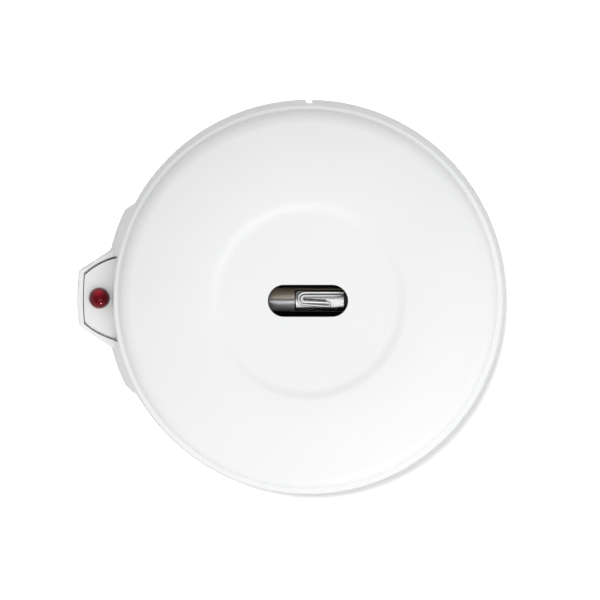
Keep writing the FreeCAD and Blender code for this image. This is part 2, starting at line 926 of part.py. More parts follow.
def tube_bushes():
    rings = []
    for x in (left_saddle_x, right_saddle_x):
        start = vec(x - bush_length / 2, 0, tube_axis)
        outer = bulb_radius + bush_thickness + bush_clearance
        ring = Part.makeCylinder(outer, bush_length, start, vec(1, 0, 0))
        bore = bulb_radius + bush_clearance
        rings.append(ring.cut(Part.makeCylinder(bore, bush_length, start, vec(1, 0, 0))))
    return rings


def lamp_board_middle():
    tip = -(skirt_radius + tongue_reach - lamp_board_tip_gap)
    return tip + lamp_board_length / 2


def lamp_screw_x():
    return lamp_x + lamp_screw_spacing


def lamp_board_supports():
    """Where the lamp's board rests: on the screw's boss and on two pads."""
    pad_x = lamp_board_middle() + lamp_board_length / 2 - lamp_screw_head_radius
    pad_y = lamp_board_width / 2 - lamp_screw_head_radius
    return [(lamp_screw_x(), 0), (pad_x, pad_y), (pad_x, -pad_y)]


def lamp_screw_shank(radius):
    low = base_thickness / 3
    return disc(lamp_screw_x(), 0, low, radius, lamp_board_top - low)


def lamp_wire_start():
    return lamp_board_middle() + lamp_board_length / 2 - 2 * lamp_wire_radius


def lamp_board():
    low = base_thickness + lamp_board_lift
    board = block(lamp_board_middle(), 0, low, lamp_board_length, lamp_board_width, lamp_board_thickness)
    board = board.cut(lamp_screw_shank(lamp_screw_radius + plunger_gap))
    for side in (-1, 1):
        y = side * lamp_lead_spacing / 2
        board = board.cut(disc(lamp_x, y, low, lamp_lead_radius + bush_clearance, lamp_board_thickness))
    return board


def lamp_board_screw():
    return pan_screw(
        lamp_screw_x(),
        0,
        lamp_board_top,
        lamp_screw_head_radius,
        lamp_screw_head_height,
        lamp_screw_radius,
        lamp_board_top - base_thickness / 2,
    )


def lamp_lens():
    flange = disc(lamp_x, 0, lamp_board_top, lamp_flange_radius, lamp_flange_height)
    body_height = lamp_tip_height - lamp_radius - lamp_board_top
    body = disc(lamp_x, 0, lamp_board_top, lamp_radius, body_height)
    dome = Part.makeSphere(lamp_radius, vec(lamp_x, 0, lamp_tip_height - lamp_radius))
    lens = flange.fuse([body, dome]).removeSplitter()
    for side in (-1, 1):
        y = side * lamp_lead_spacing / 2
        lens = lens.cut(disc(lamp_x, y, lamp_board_top, lamp_lead_radius, body_height / 2))
    return lens


def lamp_leads():
    low = base_thickness + lamp_board_lift / 2
    height = (lamp_tip_height - lamp_radius - lamp_board_top) / 2
    length = lamp_board_top + height - low
    leads = []
    for side in (-1, 1):
        leads.append(disc(lamp_x, side * lamp_lead_spacing / 2, low, lamp_lead_radius, length))
    return leads


def lamp_wires():
    wires = []
    end_x = -(board_radius - lamp_wire_inset)
    for side in (-1, 1):
        y = side * lamp_wire_spacing / 2
        path = [
            vec(lamp_wire_start(), y, lamp_board_top),
            vec(lamp_wire_start(), y, lamp_wire_height),
            vec(end_x, y, lamp_wire_height),
            vec(end_x, y, board_top),
        ]
        wires.append(wire_solid(rounded_path(path, lamp_wire_bend), lamp_wire_radius))
    return wires


def terminal_y():
    return -(board_low_edge - terminal_depth / 2)


def terminal_places():
    first = -(terminal_count - 1) / 2 * terminal_pitch
    return [first + number * terminal_pitch for number in range(terminal_count)]


def terminal_block():
    length = terminal_count * terminal_pitch + 2 * terminal_end_wall
    body = block(0, terminal_y(), board_top, length, terminal_depth, terminal_height)
    front = terminal_y() - terminal_depth / 2
    floor = board_top + terminal_floor
    for x in terminal_places():
        body = body.cut(disc(x, terminal_y(), floor, terminal_hole_radius, terminal_height))
        middle = front + terminal_depth / 4
        entry = block(x, middle, floor, terminal_entry_width, terminal_depth / 2, terminal_entry_height)
        body = body.cut(entry)
    return body


def terminal_clamp_bottom():
    return board_top + terminal_floor + terminal_entry_height


def terminal_clamps():
    return [
        block(
            x,
            terminal_y(),
            terminal_clamp_bottom(),
            terminal_clamp_size,
            terminal_clamp_size,
            terminal_clamp_thickness,
        )
        for x in terminal_places()
    ]


def terminal_screws():
    seat = terminal_clamp_bottom() + terminal_clamp_thickness + terminal_shank_length
    return [
        pan_screw(
            x,
            terminal_y(),
            seat,
            terminal_head_radius,
            terminal_head_height,
            terminal_shank_radius,
            terminal_shank_length,
        )
        for x in terminal_places()
    ]


def lever_places():
    first = setting_x - (lever_count - 1) / 2 * lever_pitch
    return [first + number * lever_pitch for number in range(lever_count)]


def lever_slot_bottom():
    return board_top + setting_height - lever_slot_depth


def setting_switch():
    length = lever_count * lever_pitch + 2 * setting_end_wall
    body = block(setting_x, setting_y, board_top, length, setting_depth, setting_height)
    for x in lever_places():
        low = lever_slot_bottom()
        slot = block(x, setting_y, low, lever_slot_width, lever_slot_length, lever_slot_depth)
        body = body.cut(slot)
    return body


def setting_lever(x):
    """A lever at the low end of its slot, its off position."""
    low = lever_slot_bottom() + lever_gap
    y = setting_y - lever_slot_length / 2 + lever_gap + lever_length / 2
    lever = block(x, y, low, lever_width, lever_length, lever_slot_depth + lever_stand - lever_gap)
    grip = block(x, y, low, lever_width, lever_length / 2, lever_slot_depth + lever_stand - lever_gap)
    foot_top = low + lever_slot_depth - lever_gap
    return lever.common(block(x, y, low, lever_width, lever_length, foot_top - low)).fuse(grip)


def cover_switch_body():
    size = cover_switch_size
    body = block(cover_switch_x, cover_switch_y, board_top, size, size, cover_switch_height)
    edges = upright_edges(body, board_top, board_top + cover_switch_height)
    body = body.makeFillet(size / 12, edges)
    low = switch_well_bottom()
    well_radius = plunger_flange_radius + plunger_gap
    well_height = board_top + cover_switch_height - switch_roof - low
    well = disc(cover_switch_x, cover_switch_y, low, well_radius, well_height)
    bore = plunger_radius + plunger_gap
    neck = disc(cover_switch_x, cover_switch_y, low, bore, cover_switch_height)
    return body.cut(well.fuse(neck))


def switch_well_bottom():
    return board_top + switch_floor


def plunger_flange_top():
    return board_top + cover_switch_height - switch_roof - plunger_gap - plunger_travel


def cover_switch_plunger():
    """The plunger as the closed cover holds it, one travel below its free place."""
    low = plunger_flange_top() - plunger_flange_height
    flange = disc(cover_switch_x, cover_switch_y, low, plunger_flange_radius, plunger_flange_height)
    stem = disc(cover_switch_x, cover_switch_y, low, plunger_radius, plunger_top - low)
    crown = [e for e in stem.Edges if e.BoundBox.ZMin > plunger_top - 1e-6]
    return flange.fuse(stem.makeFillet(plunger_radius / 3, crown))


def tangent_arc(start, heading, end):
    """An arc that leaves a point along a heading and ends at another point."""
    chord = end - start
    middle = (start + end) / 2
    bulge = heading * (chord.Length / 2 / heading.dot(chord.normalize())) + start - middle
    lean = heading.getAngle(end - start)
    sagitta = (end - start).Length / 2 * math.tan(lean / 2)
    return arc(start, middle + bulge.normalize() * sagitta, end)


def coil_edges(radius, height, turns):
    """A coil round the Z axis: two tangent arcs for each quarter turn."""
    rise = height / (turns * 4)
    slope = vec(0, 0, rise / (math.pi / 2))
    edges = []
    for number in range(turns * 4):
        places = []
        for step in (number, number + 1):
            x, y = polar(radius, 90 * step)
            heading = (vec(-y, x) + slope).normalize()
            places.append((vec(x, y, rise * step), heading))
        (start, leaving), (end, arriving) = places
        span = end - start
        total = leaving + arriving
        spread = 2 * (1 - leaving.dot(arriving))
        root = math.sqrt(span.dot(total) ** 2 + spread * span.dot(span))
        reach = (root - span.dot(total)) / spread
        joint = (start + leaving * reach + end - arriving * reach) / 2
        edges.append(tangent_arc(start, leaving, joint))
        into_joint = (end - arriving * reach - joint).normalize()
        edges.append(tangent_arc(joint, into_joint, end))
    return edges


def cover_switch_spring():
    low = switch_well_bottom() + spring_wire_radius
    high = plunger_flange_top() - plunger_flange_height - spring_wire_radius
    coil = wire_solid(coil_edges(spring_radius, high - low, spring_turns), spring_wire_radius)
    return moved(coil, cover_switch_x, cover_switch_y, low)


def transformer_core():
    core = block(transformer_x, transformer_y, board_top, core_length, core_width, core_height)
    window_height = core_height - 2 * core_yoke
    leg = core_leg()
    for side in (-1, 1):
        x = transformer_x + side * (leg / 2 + core_window / 2)
        low = board_top + core_yoke
        core = core.cut(block(x, transformer_y, low, core_window, core_width, window_height))
    return core


def core_leg():
    """Width of the core's middle leg; the two outer legs are half as wide."""
    return (core_length - 2 * core_window) / 2


def transformer_winding():
    """The taped coil round the core's middle leg."""
    clear = winding_clearance
    height = core_height - 2 * core_yoke - 2 * clear
    low = board_top + core_yoke + clear
    width = core_leg() + 2 * core_window - 2 * clear
    coil = block(transformer_x, transformer_y, low, width, winding_length, height)
    coil = coil.makeFillet(core_window / 2, upright_edges(coil, low, low + height))
    leg = core_leg() + 2 * clear
    return coil.cut(block(transformer_x, transformer_y, low, leg, core_width + 2 * clear, height))


def alarm_relay():
    case = block(relay_x, relay_y, board_top, relay_length, relay_width, relay_height)
    top = [e for e in case.Edges if e.BoundBox.ZMin > board_top + relay_height - 1e-6]
    sides = upright_edges(case, board_top, board_top + relay_height)
    return case.makeChamfer(relay_chamfer, top + sides)


def upright_capacitor(x, y, radius, height):
    can = disc(x, y, board_top, radius, height)
    top = [e for e in can.Edges if e.BoundBox.ZMin > board_top + height - 1e-6]
    return can.makeFillet(capacitor_rounding, top)


def electrolytic_capacitors():
    large = upright_capacitor(
        large_capacitor_x, large_capacitor_y, large_capacitor_radius, large_capacitor_height
    )
    small = upright_capacitor(
        small_capacitor_x, small_capacitor_y, small_capacitor_radius, small_capacitor_height
    )
    return [large, small]


def film_capacitor():
    case = block(
        film_capacitor_x,
        film_capacitor_y,
        board_top,
        film_capacitor_width,
        film_capacitor_length,
        film_capacitor_height,
    )
    sides = upright_edges(case, board_top, board_top + film_capacitor_height)
    return case.makeFillet(capacitor_rounding, sides)


def surge_absorber():
    """A disc on edge, held off the board by its two leads."""
    z = board_top + absorber_lead_length + absorber_radius
    start = vec(absorber_x, absorber_y - absorber_thickness / 2, z)
    body = Part.makeCylinder(absorber_radius, absorber_thickness, start, vec(0, 1, 0))
    rims = [e for e in body.Edges if e.Length > absorber_radius * 3]
    body = body.makeFillet(absorber_thickness / 3, rims)
    for side in (-1, 1):
        x = absorber_x + side * absorber_radius / 2
        y = absorber_y + side * absorber_thickness / 6
        lead = disc(x, y, board_top, electrode_wire_radius, absorber_lead_length + absorber_radius)
        body = body.fuse(lead)
    return body


def controller_chip():
    low = board_top + chip_stand
    chip = block(chip_x, chip_y, low, chip_length, chip_width, chip_height)
    mark = disc(
        chip_x - chip_length / 2 + chip_width / 5,
        chip_y - chip_width / 2 + chip_width / 5,
        low + chip_height - chip_stand,
        chip_width / 12,
        chip_stand,
    )
    return chip.cut(mark)


def chip_pins():
    """Gull-wing pins: out of the chip's side, down, and flat on the board."""
    pins = []
    first = chip_x - (chip_pin_count - 1) / 2 * chip_pin_pitch
    shoulder = board_top + chip_stand + chip_height / 2
    foot_start = chip_pin_reach / 2
    for side in (-1, 1):
        edge = chip_y + side * chip_width / 2
        for number in range(chip_pin_count):
            x = first + number * chip_pin_pitch
            across = edge + side * foot_start / 2
            top = block(x, across, shoulder, chip_pin_width, foot_start, chip_pin_thickness)
            down_y = edge + side * (foot_start - chip_pin_thickness / 2)
            drop = shoulder + chip_pin_thickness - board_top
            down = block(x, down_y, board_top, chip_pin_width, chip_pin_thickness, drop)
            foot_y = edge + side * (foot_start + chip_pin_reach) / 2
            foot_length = chip_pin_reach - foot_start + chip_pin_thickness
            foot = block(x, foot_y, board_top, chip_pin_width, foot_length, chip_pin_thickness)
            pins.append(top.fuse([down, foot]).removeSplitter())
    return pins


def chip_resistors():
    pieces = []
    for column in range(resistor_columns):
        for row in range(resistor_rows):
            x = resistor_x + column * resistor_pitch_x
            y = resistor_y + row * resistor_pitch_y
            pieces.append(block(x, y, board_top, resistor_length, resistor_width, resistor_height))
    return pieces


def save(name, made):
    solids = made if isinstance(made, list) else [made]
    for solid in solids:
        if not solid.isValid() or len(solid.Solids) != 1:
            raise ValueError(name + " is not one valid solid")
    shape = Part.makeCompound([s.Solids[0] for s in solids]) if len(solids) > 1 else solids[0].Solids[0]
    shape.exportStep(os.path.join("parts", name + ".step"))


def build():
    os.makedirs("parts", exist_ok=True)
    pieces = {
        "base_plate": base_plate,
        "cable_grommet": cable_grommet,
        "cover_shell": cover_shell,
        "main_board": main_board,
        "board_screws": board_screws,
        "tube_holder": tube_holder,
        "tube_bushes": tube_bushes,
        "tube_bulb": tube_bulb,
        "tube_mirror": tube_mirror,
        "anode_wire": anode_wire,
        "cathode_plate": cathode_plate,
        "lamp_lens": lamp_lens,
        "lamp_leads": lamp_leads,
        "lamp_board": lamp_board,
        "lamp_board_screw": lamp_board_screw,
        "lamp_wires": lamp_wires,
        "terminal_block": terminal_block,
        "terminal_screws": terminal_screws,
        "terminal_clamps": terminal_clamps,
        "setting_switch": setting_switch,
        "cover_switch_body": cover_switch_body,
        "cover_switch_plunger": cover_switch_plunger,
        "cover_switch_spring": cover_switch_spring,
        "transformer_core": transformer_core,
        "transformer_winding": transformer_winding,
        "alarm_relay": alarm_relay,
        "electrolytic_capacitors": electrolytic_capacitors,
        "film_capacitor": film_capacitor,
        "surge_absorber": surge_absorber,
        "controller_chip": controller_chip,
        "chip_pins": chip_pins,
        "chip_resistors": chip_resistors,
    }
    for name, make in pieces.items():
        save(name, make())
    for number, x in enumerate(lever_places(), start=1):
        save("setting_lever_" + str(number), setting_lever(x))


build()
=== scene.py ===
"""Looks of a flame detector: materials, fine meshes, stage, lights and the photograph's view."""
import math

import bpy
from mathutils import Matrix, Vector


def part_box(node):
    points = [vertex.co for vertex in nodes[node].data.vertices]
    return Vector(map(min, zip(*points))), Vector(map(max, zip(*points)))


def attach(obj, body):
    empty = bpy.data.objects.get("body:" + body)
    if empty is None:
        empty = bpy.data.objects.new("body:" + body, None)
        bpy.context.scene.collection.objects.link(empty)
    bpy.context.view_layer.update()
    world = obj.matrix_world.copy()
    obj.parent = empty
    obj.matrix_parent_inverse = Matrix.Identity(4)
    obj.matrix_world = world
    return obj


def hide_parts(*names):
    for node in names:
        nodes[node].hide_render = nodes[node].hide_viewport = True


MM = 0.001

# Ultraviolet tube, in millimetres from the tube's own axis
GLASS_RADIUS = 4.2
GLASS_WALL = 0.7
TIP_LENGTH = 0.9
TIP_RADIUS = 0.8
GLASS_END = 15.0
PINCH_START = 16.2
PINCH_HALF_WIDTH = 2.75
PINCH_HALF_HEIGHT = 1.3
FOIL_LENGTH = 2.6
FOIL_HALF_WIDTH = 0.75
FOIL_THICKNESS = 0.03
COAT_RADIUS = 3.47
COAT_THICKNESS = 0.1
COAT_LEFT = -13.8
COAT_EDGE = -3.9
COAT_BACK_END = 11.6
# Painted shade on the film's left end: deepest at the first point, gone past the second
COAT_PAINTED_SHADE_X = -12.8
COAT_PAINTED_SHADE_END_X = -9.2
WIRE_RADIUS = 0.35
WIRE_HEIGHT = 1.3
WIRE_FLATNESS = 0.45
WIRE_BEND = 1.2
LOOP_OUTER_HIGH = 2.05
LOOP_OUTER_LOW = -1.4
LOOP_INNER_HIGH = 1.15
LOOP_INNER_LOW = -0.62
LOOP_LEFT = -1.0
LOOP_RIGHT = 6.0
LOOP_TILT = 0.5
PLATE_LEFT = -3.4
PLATE_RIGHT = 10.6
PLATE_LOW = -2.9
PLATE_HIGH = 2.4
PLATE_CROWN = 0.2
PLATE_CURVE = 28.0
PLATE_SWEEP = 60.0
PLATE_THICKNESS = 0.22
PLATE_CORNER = 0.8
SLIT_LENGTH = 7.0
SLIT_WIDTH = 0.6
SLIT_X = 2.2
SLIT_Y = -0.1
SLIT_TILT = -3.5
STEM_OFFSET = 1.6
STEM_START = 8.4

# Indicator lamp, in millimetres
LENS_RADIUS = 3.0
LENS_FLANGE_RADIUS = 3.4
LENS_FLANGE_HEIGHT = 0.8
RING_TOP = 7.08
RING_CLEARANCE = 0.03
RING_WIDTH = 0.42
RING_DEPTH = 0.5
# Painted glow inside the lens: where the brighter red is painted and how far it reaches
LENS_PAINTED_GLOW_X = -0.15
LENS_PAINTED_GLOW_Y = 1.75
LENS_PAINTED_GLOW_DEPTH = 1.0
LENS_PAINTED_GLOW_CORE = 0.2
LENS_PAINTED_GLOW_REACH = 2.1

# Parts on the boards, in millimetres: a can is x, y, radius and height
LARGE_CAN = (-28.5, 22.0, 4.0, 11.0)
SMALL_CAN = (-28.0, 12.5, 3.15, 7.0)
CAN_CRIMP_DEPTH = 0.28
CAN_CRIMP_TOP = 1.7
CAN_ROUNDING = 0.5
CAN_RIM = 0.9
CAN_SCORE = 0.16
LAMP_WIRE_RADIUS = 0.5
LAMP_WIRE_BEND = 1.2
WIRE_LIFT = 0.02
SOLDER_HEIGHT = 0.8

# The photograph: picture size, scale and where the middle of the back face falls in it
PICTURE_PX = 600
SCALE_PX_PER_MM = 3.405
CENTRE_PX = (308.5, 297.3)
CAMERA_DISTANCE = 1500.0
TILT_UP = 2.35
TILT_RIGHT = 0.45

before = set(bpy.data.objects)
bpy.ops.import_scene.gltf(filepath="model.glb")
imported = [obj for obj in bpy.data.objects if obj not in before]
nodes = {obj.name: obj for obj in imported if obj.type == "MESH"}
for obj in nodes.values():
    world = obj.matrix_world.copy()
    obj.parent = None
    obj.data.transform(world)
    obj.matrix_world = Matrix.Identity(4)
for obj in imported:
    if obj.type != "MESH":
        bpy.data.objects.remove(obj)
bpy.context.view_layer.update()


def middle_of(node):
    low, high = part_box(node)
    return (Vector(low) + Vector(high)) / 2 / MM


def top_of(node):
    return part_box(node)[1][2] / MM


TUBE_AXIS = middle_of("tube_bulb").z
BOARD_TOP = top_of("main_board")
BOARD_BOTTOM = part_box("main_board")[0][2] / MM


# Helpers for meshes

def new_object(name, verts, faces, smooth_angle=35.0):
    mesh = bpy.data.meshes.new(name)
    mesh.from_pydata([tuple(c * MM for c in v) for v in verts], [], faces)
    mesh.update()
    obj = bpy.data.objects.new(name, mesh)
    bpy.context.scene.collection.objects.link(obj)
    return shade(obj, smooth_angle)


def shade(obj, smooth_angle=35.0):
    mesh = obj.data
    mesh.polygons.foreach_set("use_smooth", [True] * len(mesh.polygons))
    mesh.set_sharp_from_angle(angle=math.radians(smooth_angle))
    return obj


def lathe(name, profile, segments, close=True, smooth_angle=35.0):
    """Turns (radius, height) points round the Z axis; a point on the axis becomes one vertex."""
    verts = []
    rings = []
    for radius, height in profile:
        if radius < 1e-6:
            rings.append([len(verts)] * segments)
            verts.append((0.0, 0.0, height))
            continue
        ring = []
        for step in range(segments):
            turn = 2 * math.pi * step / segments
            ring.append(len(verts))
            verts.append((radius * math.cos(turn), radius * math.sin(turn), height))
        rings.append(ring)
    faces = []
    pairs = list(zip(rings, rings[1:]))
    if close:
        pairs.append((rings[-1], rings[0]))
    for low, high in pairs:
        for step in range(segments):
            after = (step + 1) % segments
            corners = [low[step], low[after], high[after], high[step]]
            unique = list(dict.fromkeys(corners))
            if len(unique) > 2:
                faces.append(unique)
    return new_object(name, verts, faces, smooth_angle)


def arc_points(centre, radius, start, end, count):
    """Points on a circle from one angle to another, in degrees."""
    points = []
    for step in range(count + 1):
        angle = math.radians(start + (end - start) * step / count)
        points.append((centre[0] + radius * math.cos(angle), centre[1] + radius * math.sin(angle)))
    return points


def prism(name, outline, low, high):
    """A flat outline as a solid between two heights."""
    count = len(outline)
    verts = [(x, y, low) for x, y in outline] + [(x, y, high) for x, y in outline]
    faces = [list(range(count - 1, -1, -1)), list(range(count, 2 * count))]
    for step in range(count):
        after = (step + 1) % count
        faces.append([step, after, count + after, count + step])
    return new_object(name, verts, faces)


def stadium_outline(length, width, steps=32):
    reach = (length - width) / 2
    right = arc_points((reach, 0), width / 2, -90, 90, steps)
    left = arc_points((-reach, 0), width / 2, 90, 270, steps)
    return right + left


def cut(obj, cutter):
    """Takes another solid out of this one; the other one is used up."""
    modifier = obj.modifiers.new("difference", "BOOLEAN")
    modifier.operation = "DIFFERENCE"
    modifier.solver = "EXACT"
    modifier.object = cutter
    bake_modifiers(obj)
    bpy.data.objects.remove(cutter)


def bake_modifiers(obj):
    graph = bpy.context.evaluated_depsgraph_get()
    graph.update()
    mesh = bpy.data.meshes.new_from_object(obj.evaluated_get(graph))
    obj.modifiers.clear()
    obj.data = mesh


def place(obj, x, y, z):
    obj.data.transform(Matrix.Translation(Vector((x, y, z)) * MM))


# Helpers for materials

def new_material(name):
    material = bpy.data.materials.new(name)
    material.use_nodes = True
    tree = material.node_tree
    return material, tree, tree.nodes["Principled BSDF"]


def link_math(tree, operation, first, second):
    node = tree.nodes.new("ShaderNodeMath")
    node.operation = operation
    for socket, value in zip(node.inputs, (first, second)):
        if isinstance(value, (int, float)):
            socket.default_value = value
        else:
            tree.links.new(value, socket)
    return node.outputs[0]


def shiny_ray(tree, path):
    """One for a ray that comes from a gloss or goes through glass."""
    return link_math(tree, "MAXIMUM", path.outputs["Is Glossy Ray"], path.outputs["Is Transmission Ray"])


def object_places(tree):
    return tree.nodes.new("ShaderNodeTexCoord").outputs["Object"]


def varied_colour(tree, places, low, high, scale):
    """A soft noise between two colours in object space."""
    noise = tree.nodes.new("ShaderNodeTexNoise")
    noise.inputs["Scale"].default_value = scale
    noise.inputs["Detail"].default_value = 4.0
    ramp = tree.nodes.new("ShaderNodeValToRGB")
    ramp.color_ramp.elements[0].position = 0.3
    ramp.color_ramp.elements[1].position = 0.7
    ramp.color_ramp.elements[0].color = (*low, 1)
    ramp.color_ramp.elements[1].color = (*high, 1)
    tree.links.new(places, noise.inputs["Vector"])
    tree.links.new(noise.outputs["Fac"], ramp.inputs["Fac"])
    return ramp.outputs["Color"]


def fine_bump(tree, shader, places, scale, strength, distance):
    """A grain in the surface; the distance is in millimetres."""
    grain = tree.nodes.new("ShaderNodeTexNoise")
    grain.inputs["Scale"].default_value = scale
    grain.inputs["Detail"].default_value = 3.0
    bump = tree.nodes.new("ShaderNodeBump")
    bump.inputs["Strength"].default_value = strength
    bump.inputs["Distance"].default_value = distance * MM
    tree.links.new(places, grain.inputs["Vector"])
    tree.links.new(grain.outputs["Fac"], bump.inputs["Height"])
    tree.links.new(bump.outputs["Normal"], shader.inputs["Normal"])


def solid_material(name, low, high, scale, roughness, metallic=0.0, grain=900.0, grain_depth=0.01):
    material, tree, shader = new_material(name)
    places = object_places(tree)
    tree.links.new(varied_colour(tree, places, low, high, scale), shader.inputs["Base Color"])
    shader.inputs["Roughness"].default_value = roughness
    shader.inputs["Metallic"].default_value = metallic
    fine_bump(tree, shader, places, grain, 0.25, grain_depth)
    return material


def white_plastic():
    material = solid_material("white_plastic", (0.862, 0.875, 0.868), (0.878, 0.888, 0.882), 40.0, 0.34)
    shader = material.node_tree.nodes["Principled BSDF"]
    shader.inputs["Specular IOR Level"].default_value = 0.3
    return material


def board_mask():
    """Green solder mask over copper runs, which lie along X in some patches and along Y in others."""
    material, tree, shader = new_material("board_mask")
    places = object_places(tree)
    patches = tree.nodes.new("ShaderNodeTexVoronoi")
    patches.distance = "CHEBYCHEV"
    patches.inputs["Scale"].default_value = 105.0
    patches.inputs["Randomness"].default_value = 0.7
    tree.links.new(places, patches.inputs["Vector"])
    chance = tree.nodes.new("ShaderNodeSeparateColor")
    tree.links.new(patches.outputs["Color"], chance.inputs["Color"])
    runs = []
    for direction in ("X", "Y"):
        wave = tree.nodes.new("ShaderNodeTexWave")
        wave.bands_direction = direction
        wave.inputs["Scale"].default_value = 230.0
        tree.links.new(places, wave.inputs["Vector"])
        runs.append(link_math(tree, "GREATER_THAN", wave.outputs["Fac"], 0.72))
    upright = link_math(tree, "GREATER_THAN", chance.outputs["Red"], 0.5)
    present = link_math(tree, "GREATER_THAN", chance.outputs["Green"], 0.4)
    first = link_math(tree, "MULTIPLY", runs[0], upright)
    second = link_math(tree, "MULTIPLY", runs[1], link_math(tree, "SUBTRACT", 1.0, upright))
    copper = link_math(tree, "MULTIPLY", link_math(tree, "ADD", first, second), present)
    mask = tree.nodes.new("ShaderNodeMix")
    mask.data_type = "RGBA"
    mask.inputs["A"].default_value = (0.012, 0.115, 0.045, 1)
    mask.inputs["B"].default_value = (0.022, 0.175, 0.07, 1)
    tree.links.new(copper, mask.inputs["Factor"])
    tree.links.new(mask.outputs["Result"], shader.inputs["Base Color"])
    shader.inputs["Roughness"].default_value = 0.34
    fine_bump(tree, shader, places, 700.0, 0.2, 0.02)
    return material


def electrode_metal(name, low, high, roughness):
    """Smooth drawn or rolled metal."""
    return solid_material(name, low, high, 150.0, roughness, metallic=1.0, grain_depth=0.003)


def clear_glass():
    material, tree, shader = new_material("clear_glass")
    tint = varied_colour(tree, object_places(tree), (0.975, 0.985, 0.985), (0.99, 0.995, 0.995), 60.0)
    tree.links.new(tint, shader.inputs["Base Color"])
    shader.inputs["Transmission Weight"].default_value = 1.0
    shader.inputs["Roughness"].default_value = 0.02
    shader.inputs["IOR"].default_value = 1.46
    return material


def lamp_epoxy():
    """Dark red resin; the brighter patch towards +Y is a painted glow, painted light standing in for light
    gathered inside the lens.
    """
    material, tree, shader = new_material("lamp_epoxy")
    places = object_places(tree)
    resin = varied_colour(tree, places, (0.075, 0.0003, 0.001), (0.09, 0.0004, 0.0014), 300.0)
    apart = tree.nodes.new("ShaderNodeVectorMath")
    apart.operation = "DISTANCE"
    painted_glow_x = middle_of("lamp_lens").x + LENS_PAINTED_GLOW_X
    painted_glow_z = top_of("lamp_lens") - LENS_PAINTED_GLOW_DEPTH
    apart.inputs[1].default_value = Vector((painted_glow_x, LENS_PAINTED_GLOW_Y, painted_glow_z)) * MM
    tree.links.new(places, apart.inputs[0])
    painted_glow_mask = tree.nodes.new("ShaderNodeMapRange")
    painted_glow_mask.interpolation_type = "SMOOTHSTEP"
    painted_glow_mask.inputs["From Min"].default_value = LENS_PAINTED_GLOW_REACH * MM
    painted_glow_mask.inputs["From Max"].default_value = LENS_PAINTED_GLOW_CORE * MM
    tree.links.new(apart.outputs["Value"], painted_glow_mask.inputs["Value"])
    painted_glow_blend = tree.nodes.new("ShaderNodeMix")
    painted_glow_blend.data_type = "RGBA"
    # Painted glow: this brighter red is painted light, not the resin's own colour
    painted_glow_blend.inputs["B"].default_value = (0.34, 0.01, 0.022, 1)
    tree.links.new(painted_glow_mask.outputs["Result"], painted_glow_blend.inputs["Factor"])
    tree.links.new(resin, painted_glow_blend.inputs["A"])
    tree.links.new(painted_glow_blend.outputs["Result"], shader.inputs["Base Color"])
    shader.inputs["Roughness"].default_value = 0.1
    shader.inputs["Specular IOR Level"].default_value = 0.5
    shader.inputs["Specular Tint"].default_value = (1.0, 0.3, 0.4, 1)
    return material


def metal_film():
    """A brown-grey film, greyer below the tube's middle and darker near its lower edge; the dark line along
    its middle is a painted reflection, and its darker left end is painted shade.
    """
    material, tree, shader = new_material("mirror_coat")
    places = object_places(tree)
    parts = tree.nodes.new("ShaderNodeSeparateXYZ")
    tree.links.new(places, parts.inputs[0])
    across = tree.nodes.new("ShaderNodeMapRange")
    across.inputs["From Min"].default_value = -GLASS_RADIUS * MM
    across.inputs["From Max"].default_value = GLASS_RADIUS * MM
    tree.links.new(parts.outputs["Y"], across.inputs["Value"])
    ramp = tree.nodes.new("ShaderNodeValToRGB")
    film_and_painted_reflection_stops = (
        (0.08, (0.4, 0.35, 0.32)),
        (0.2, (0.8, 0.76, 0.77)),
        (0.45, (0.84, 0.82, 0.86)),
        # painted reflection: a dark line along the tube's middle
        (0.485, (0.1, 0.065, 0.045)),
        (0.515, (0.1, 0.065, 0.045)),
        (0.55, (0.84, 0.74, 0.62)),
        (0.75, (0.84, 0.72, 0.58)),
        (0.95, (0.8, 0.66, 0.5)),
    )
    elements = ramp.color_ramp.elements
    while len(elements) < len(film_and_painted_reflection_stops):
        elements.new(0.5)
    for element, (position, colour) in zip(elements, film_and_painted_reflection_stops):
        element.position = position
        element.color = (*colour, 1)
    tree.links.new(across.outputs["Result"], ramp.inputs["Fac"])
    # Painted shade: the film darkens towards its left end
    along = tree.nodes.new("ShaderNodeMapRange")
    along.interpolation_type = "SMOOTHSTEP"
    along.inputs["From Min"].default_value = COAT_PAINTED_SHADE_X * MM
    along.inputs["From Max"].default_value = COAT_PAINTED_SHADE_END_X * MM
    along.inputs["To Min"].default_value = 0.35
    tree.links.new(parts.outputs["X"], along.inputs["Value"])
    shaded = tree.nodes.new("ShaderNodeVectorMath")
    shaded.operation = "SCALE"
    tree.links.new(ramp.outputs["Color"], shaded.inputs[0])
    tree.links.new(along.outputs["Result"], shaded.inputs["Scale"])
    tree.links.new(shaded.outputs["Vector"], shader.inputs["Base Color"])
    shader.inputs["Metallic"].default_value = 0.35
    shader.inputs["Roughness"].default_value = 0.45
    fine_bump(tree, shader, places, 900.0, 0.2, 0.01)
    return material


